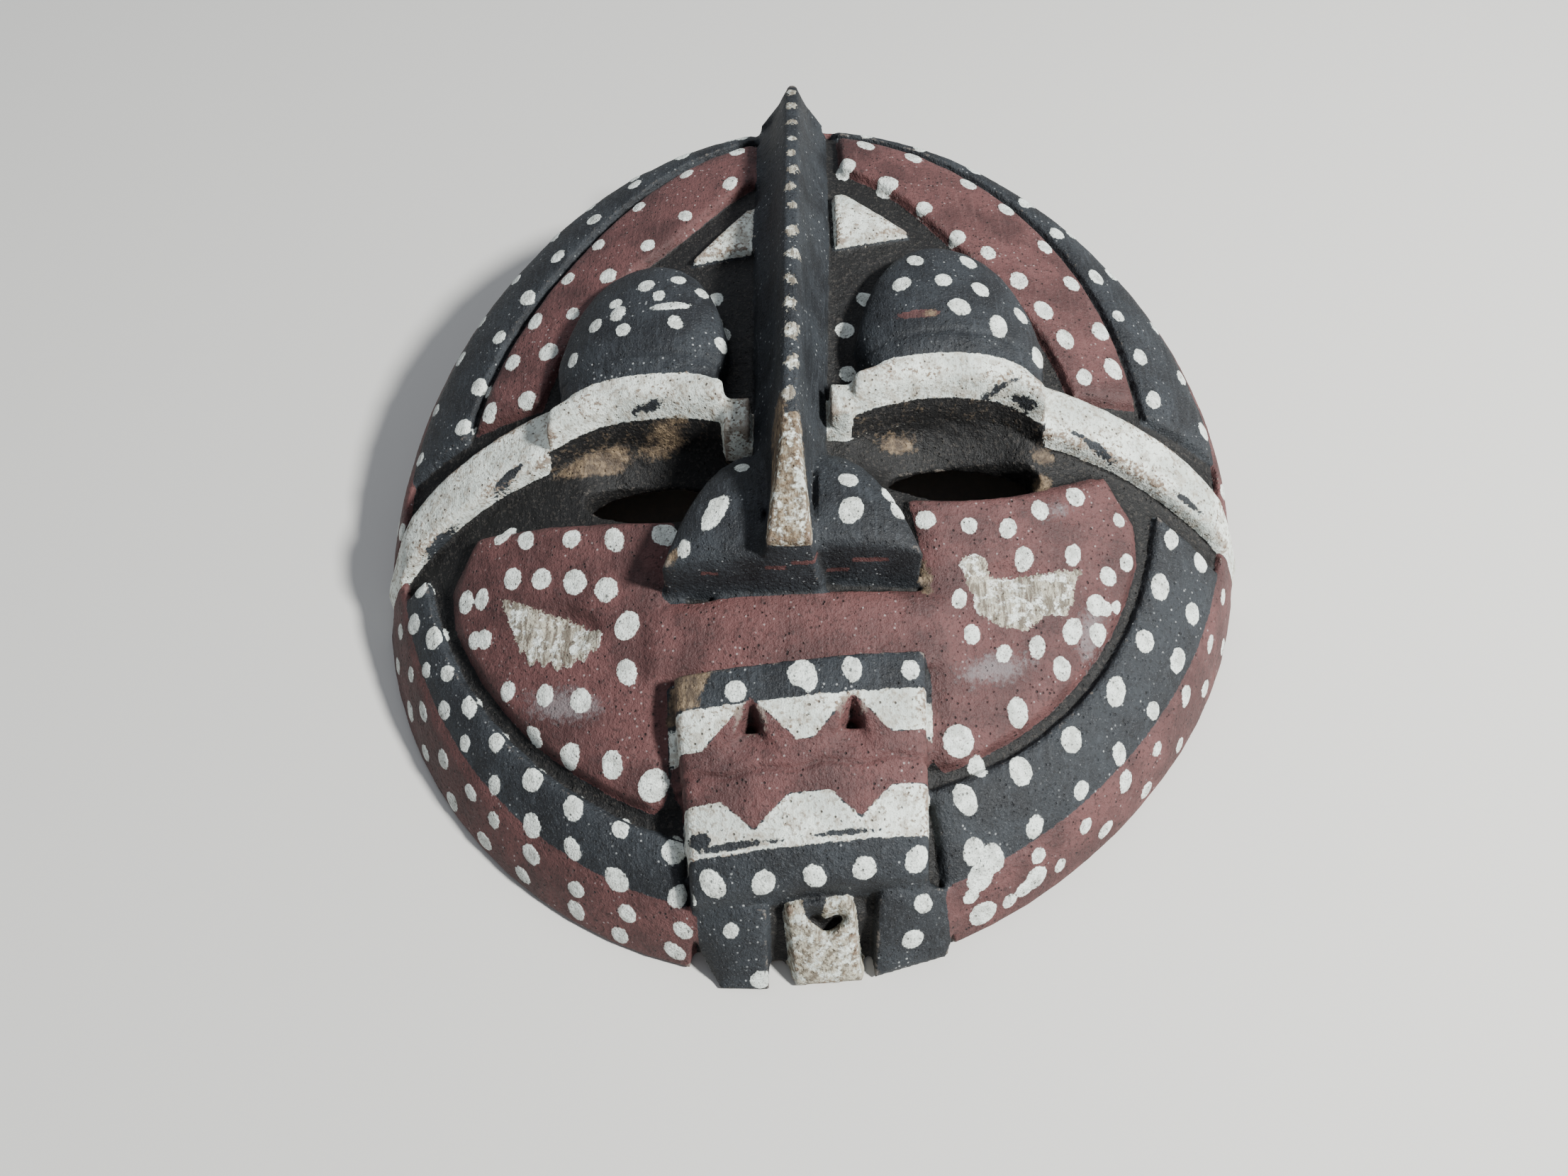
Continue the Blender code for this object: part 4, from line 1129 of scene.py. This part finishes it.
# Metres, but millimetres for the lens and the sensor. The floor lies a hair under the mask. Each lamp has
# a place, a power in watts, a size and a colour.
FLOOR_REACH = 2.0
FLOOR_DROP = 0.0002
FLOOR_COLOUR = (0.62, 0.60, 0.57, 1.0)
FLOOR_ROUGHNESS = 0.9
LAMPS_AIM = (0.0, 0.0, 0.03)
KEY_LAMP = ((0.64, -0.26, 0.74), 26.5, 0.13, (0.98, 1.0, 0.98))
FILL_LAMP = ((-0.3, 0.7, 0.9), 3.0, 1.0, (0.86, 0.92, 1.0))
SKY_COLOUR = (0.80, 0.86, 0.95, 1.0)
SKY_STRENGTH = 0.34
CAMERA_PLACE = (-0.00725, -0.1667, 0.2336)
CAMERA_AIM = (0.0, 0.5519, -0.8339)
CAMERA_LENS = 27.05
CAMERA_SENSOR = 36.0
CAMERA_NEAR = 0.01


def floor():
    mesh = bpy.data.meshes.new("floor")
    reach = FLOOR_REACH
    corners = [(-reach, -reach, 0), (reach, -reach, 0), (reach, reach, 0), (-reach, reach, 0)]
    mesh.from_pydata(corners, [], [(0, 1, 2, 3)])
    made = bpy.data.objects.new("floor", mesh)
    made.location.z = -FLOOR_DROP
    bpy.context.scene.collection.objects.link(made)
    paper = bpy.data.materials.new("floor")
    paper.use_nodes = True
    shader = paper.node_tree.nodes["Principled BSDF"]
    shader.inputs["Base Color"].default_value = FLOOR_COLOUR
    shader.inputs["Roughness"].default_value = FLOOR_ROUGHNESS
    mesh.materials.append(paper)


def lamp(name, place, power, size, colour):
    data = bpy.data.lights.new(name, "AREA")
    data.shape = "DISK"
    data.size = size
    data.energy = power
    data.color = colour
    made = bpy.data.objects.new(name, data)
    made.location = place
    made.rotation_euler = (Vector(LAMPS_AIM) - Vector(place)).to_track_quat("-Z", "Y").to_euler()
    bpy.context.scene.collection.objects.link(made)


def studio():
    lamp("key", *KEY_LAMP)
    lamp("fill", *FILL_LAMP)
    world = bpy.data.worlds.new("studio")
    bpy.context.scene.world = world
    world.use_nodes = True
    world.node_tree.nodes["Background"].inputs["Color"].default_value = SKY_COLOUR
    world.node_tree.nodes["Background"].inputs["Strength"].default_value = SKY_STRENGTH


def camera():
    data = bpy.data.cameras.new("camera")
    data.lens = CAMERA_LENS
    data.sensor_width = CAMERA_SENSOR
    data.clip_start = CAMERA_NEAR
    made = bpy.data.objects.new("camera", data)
    aim = Vector(CAMERA_AIM)
    made.rotation_euler = aim.to_track_quat("-Z", "Y").to_euler()
    made.location = CAMERA_PLACE
    bpy.context.scene.collection.objects.link(made)
    bpy.context.scene.camera = made


floor()
studio()
camera()
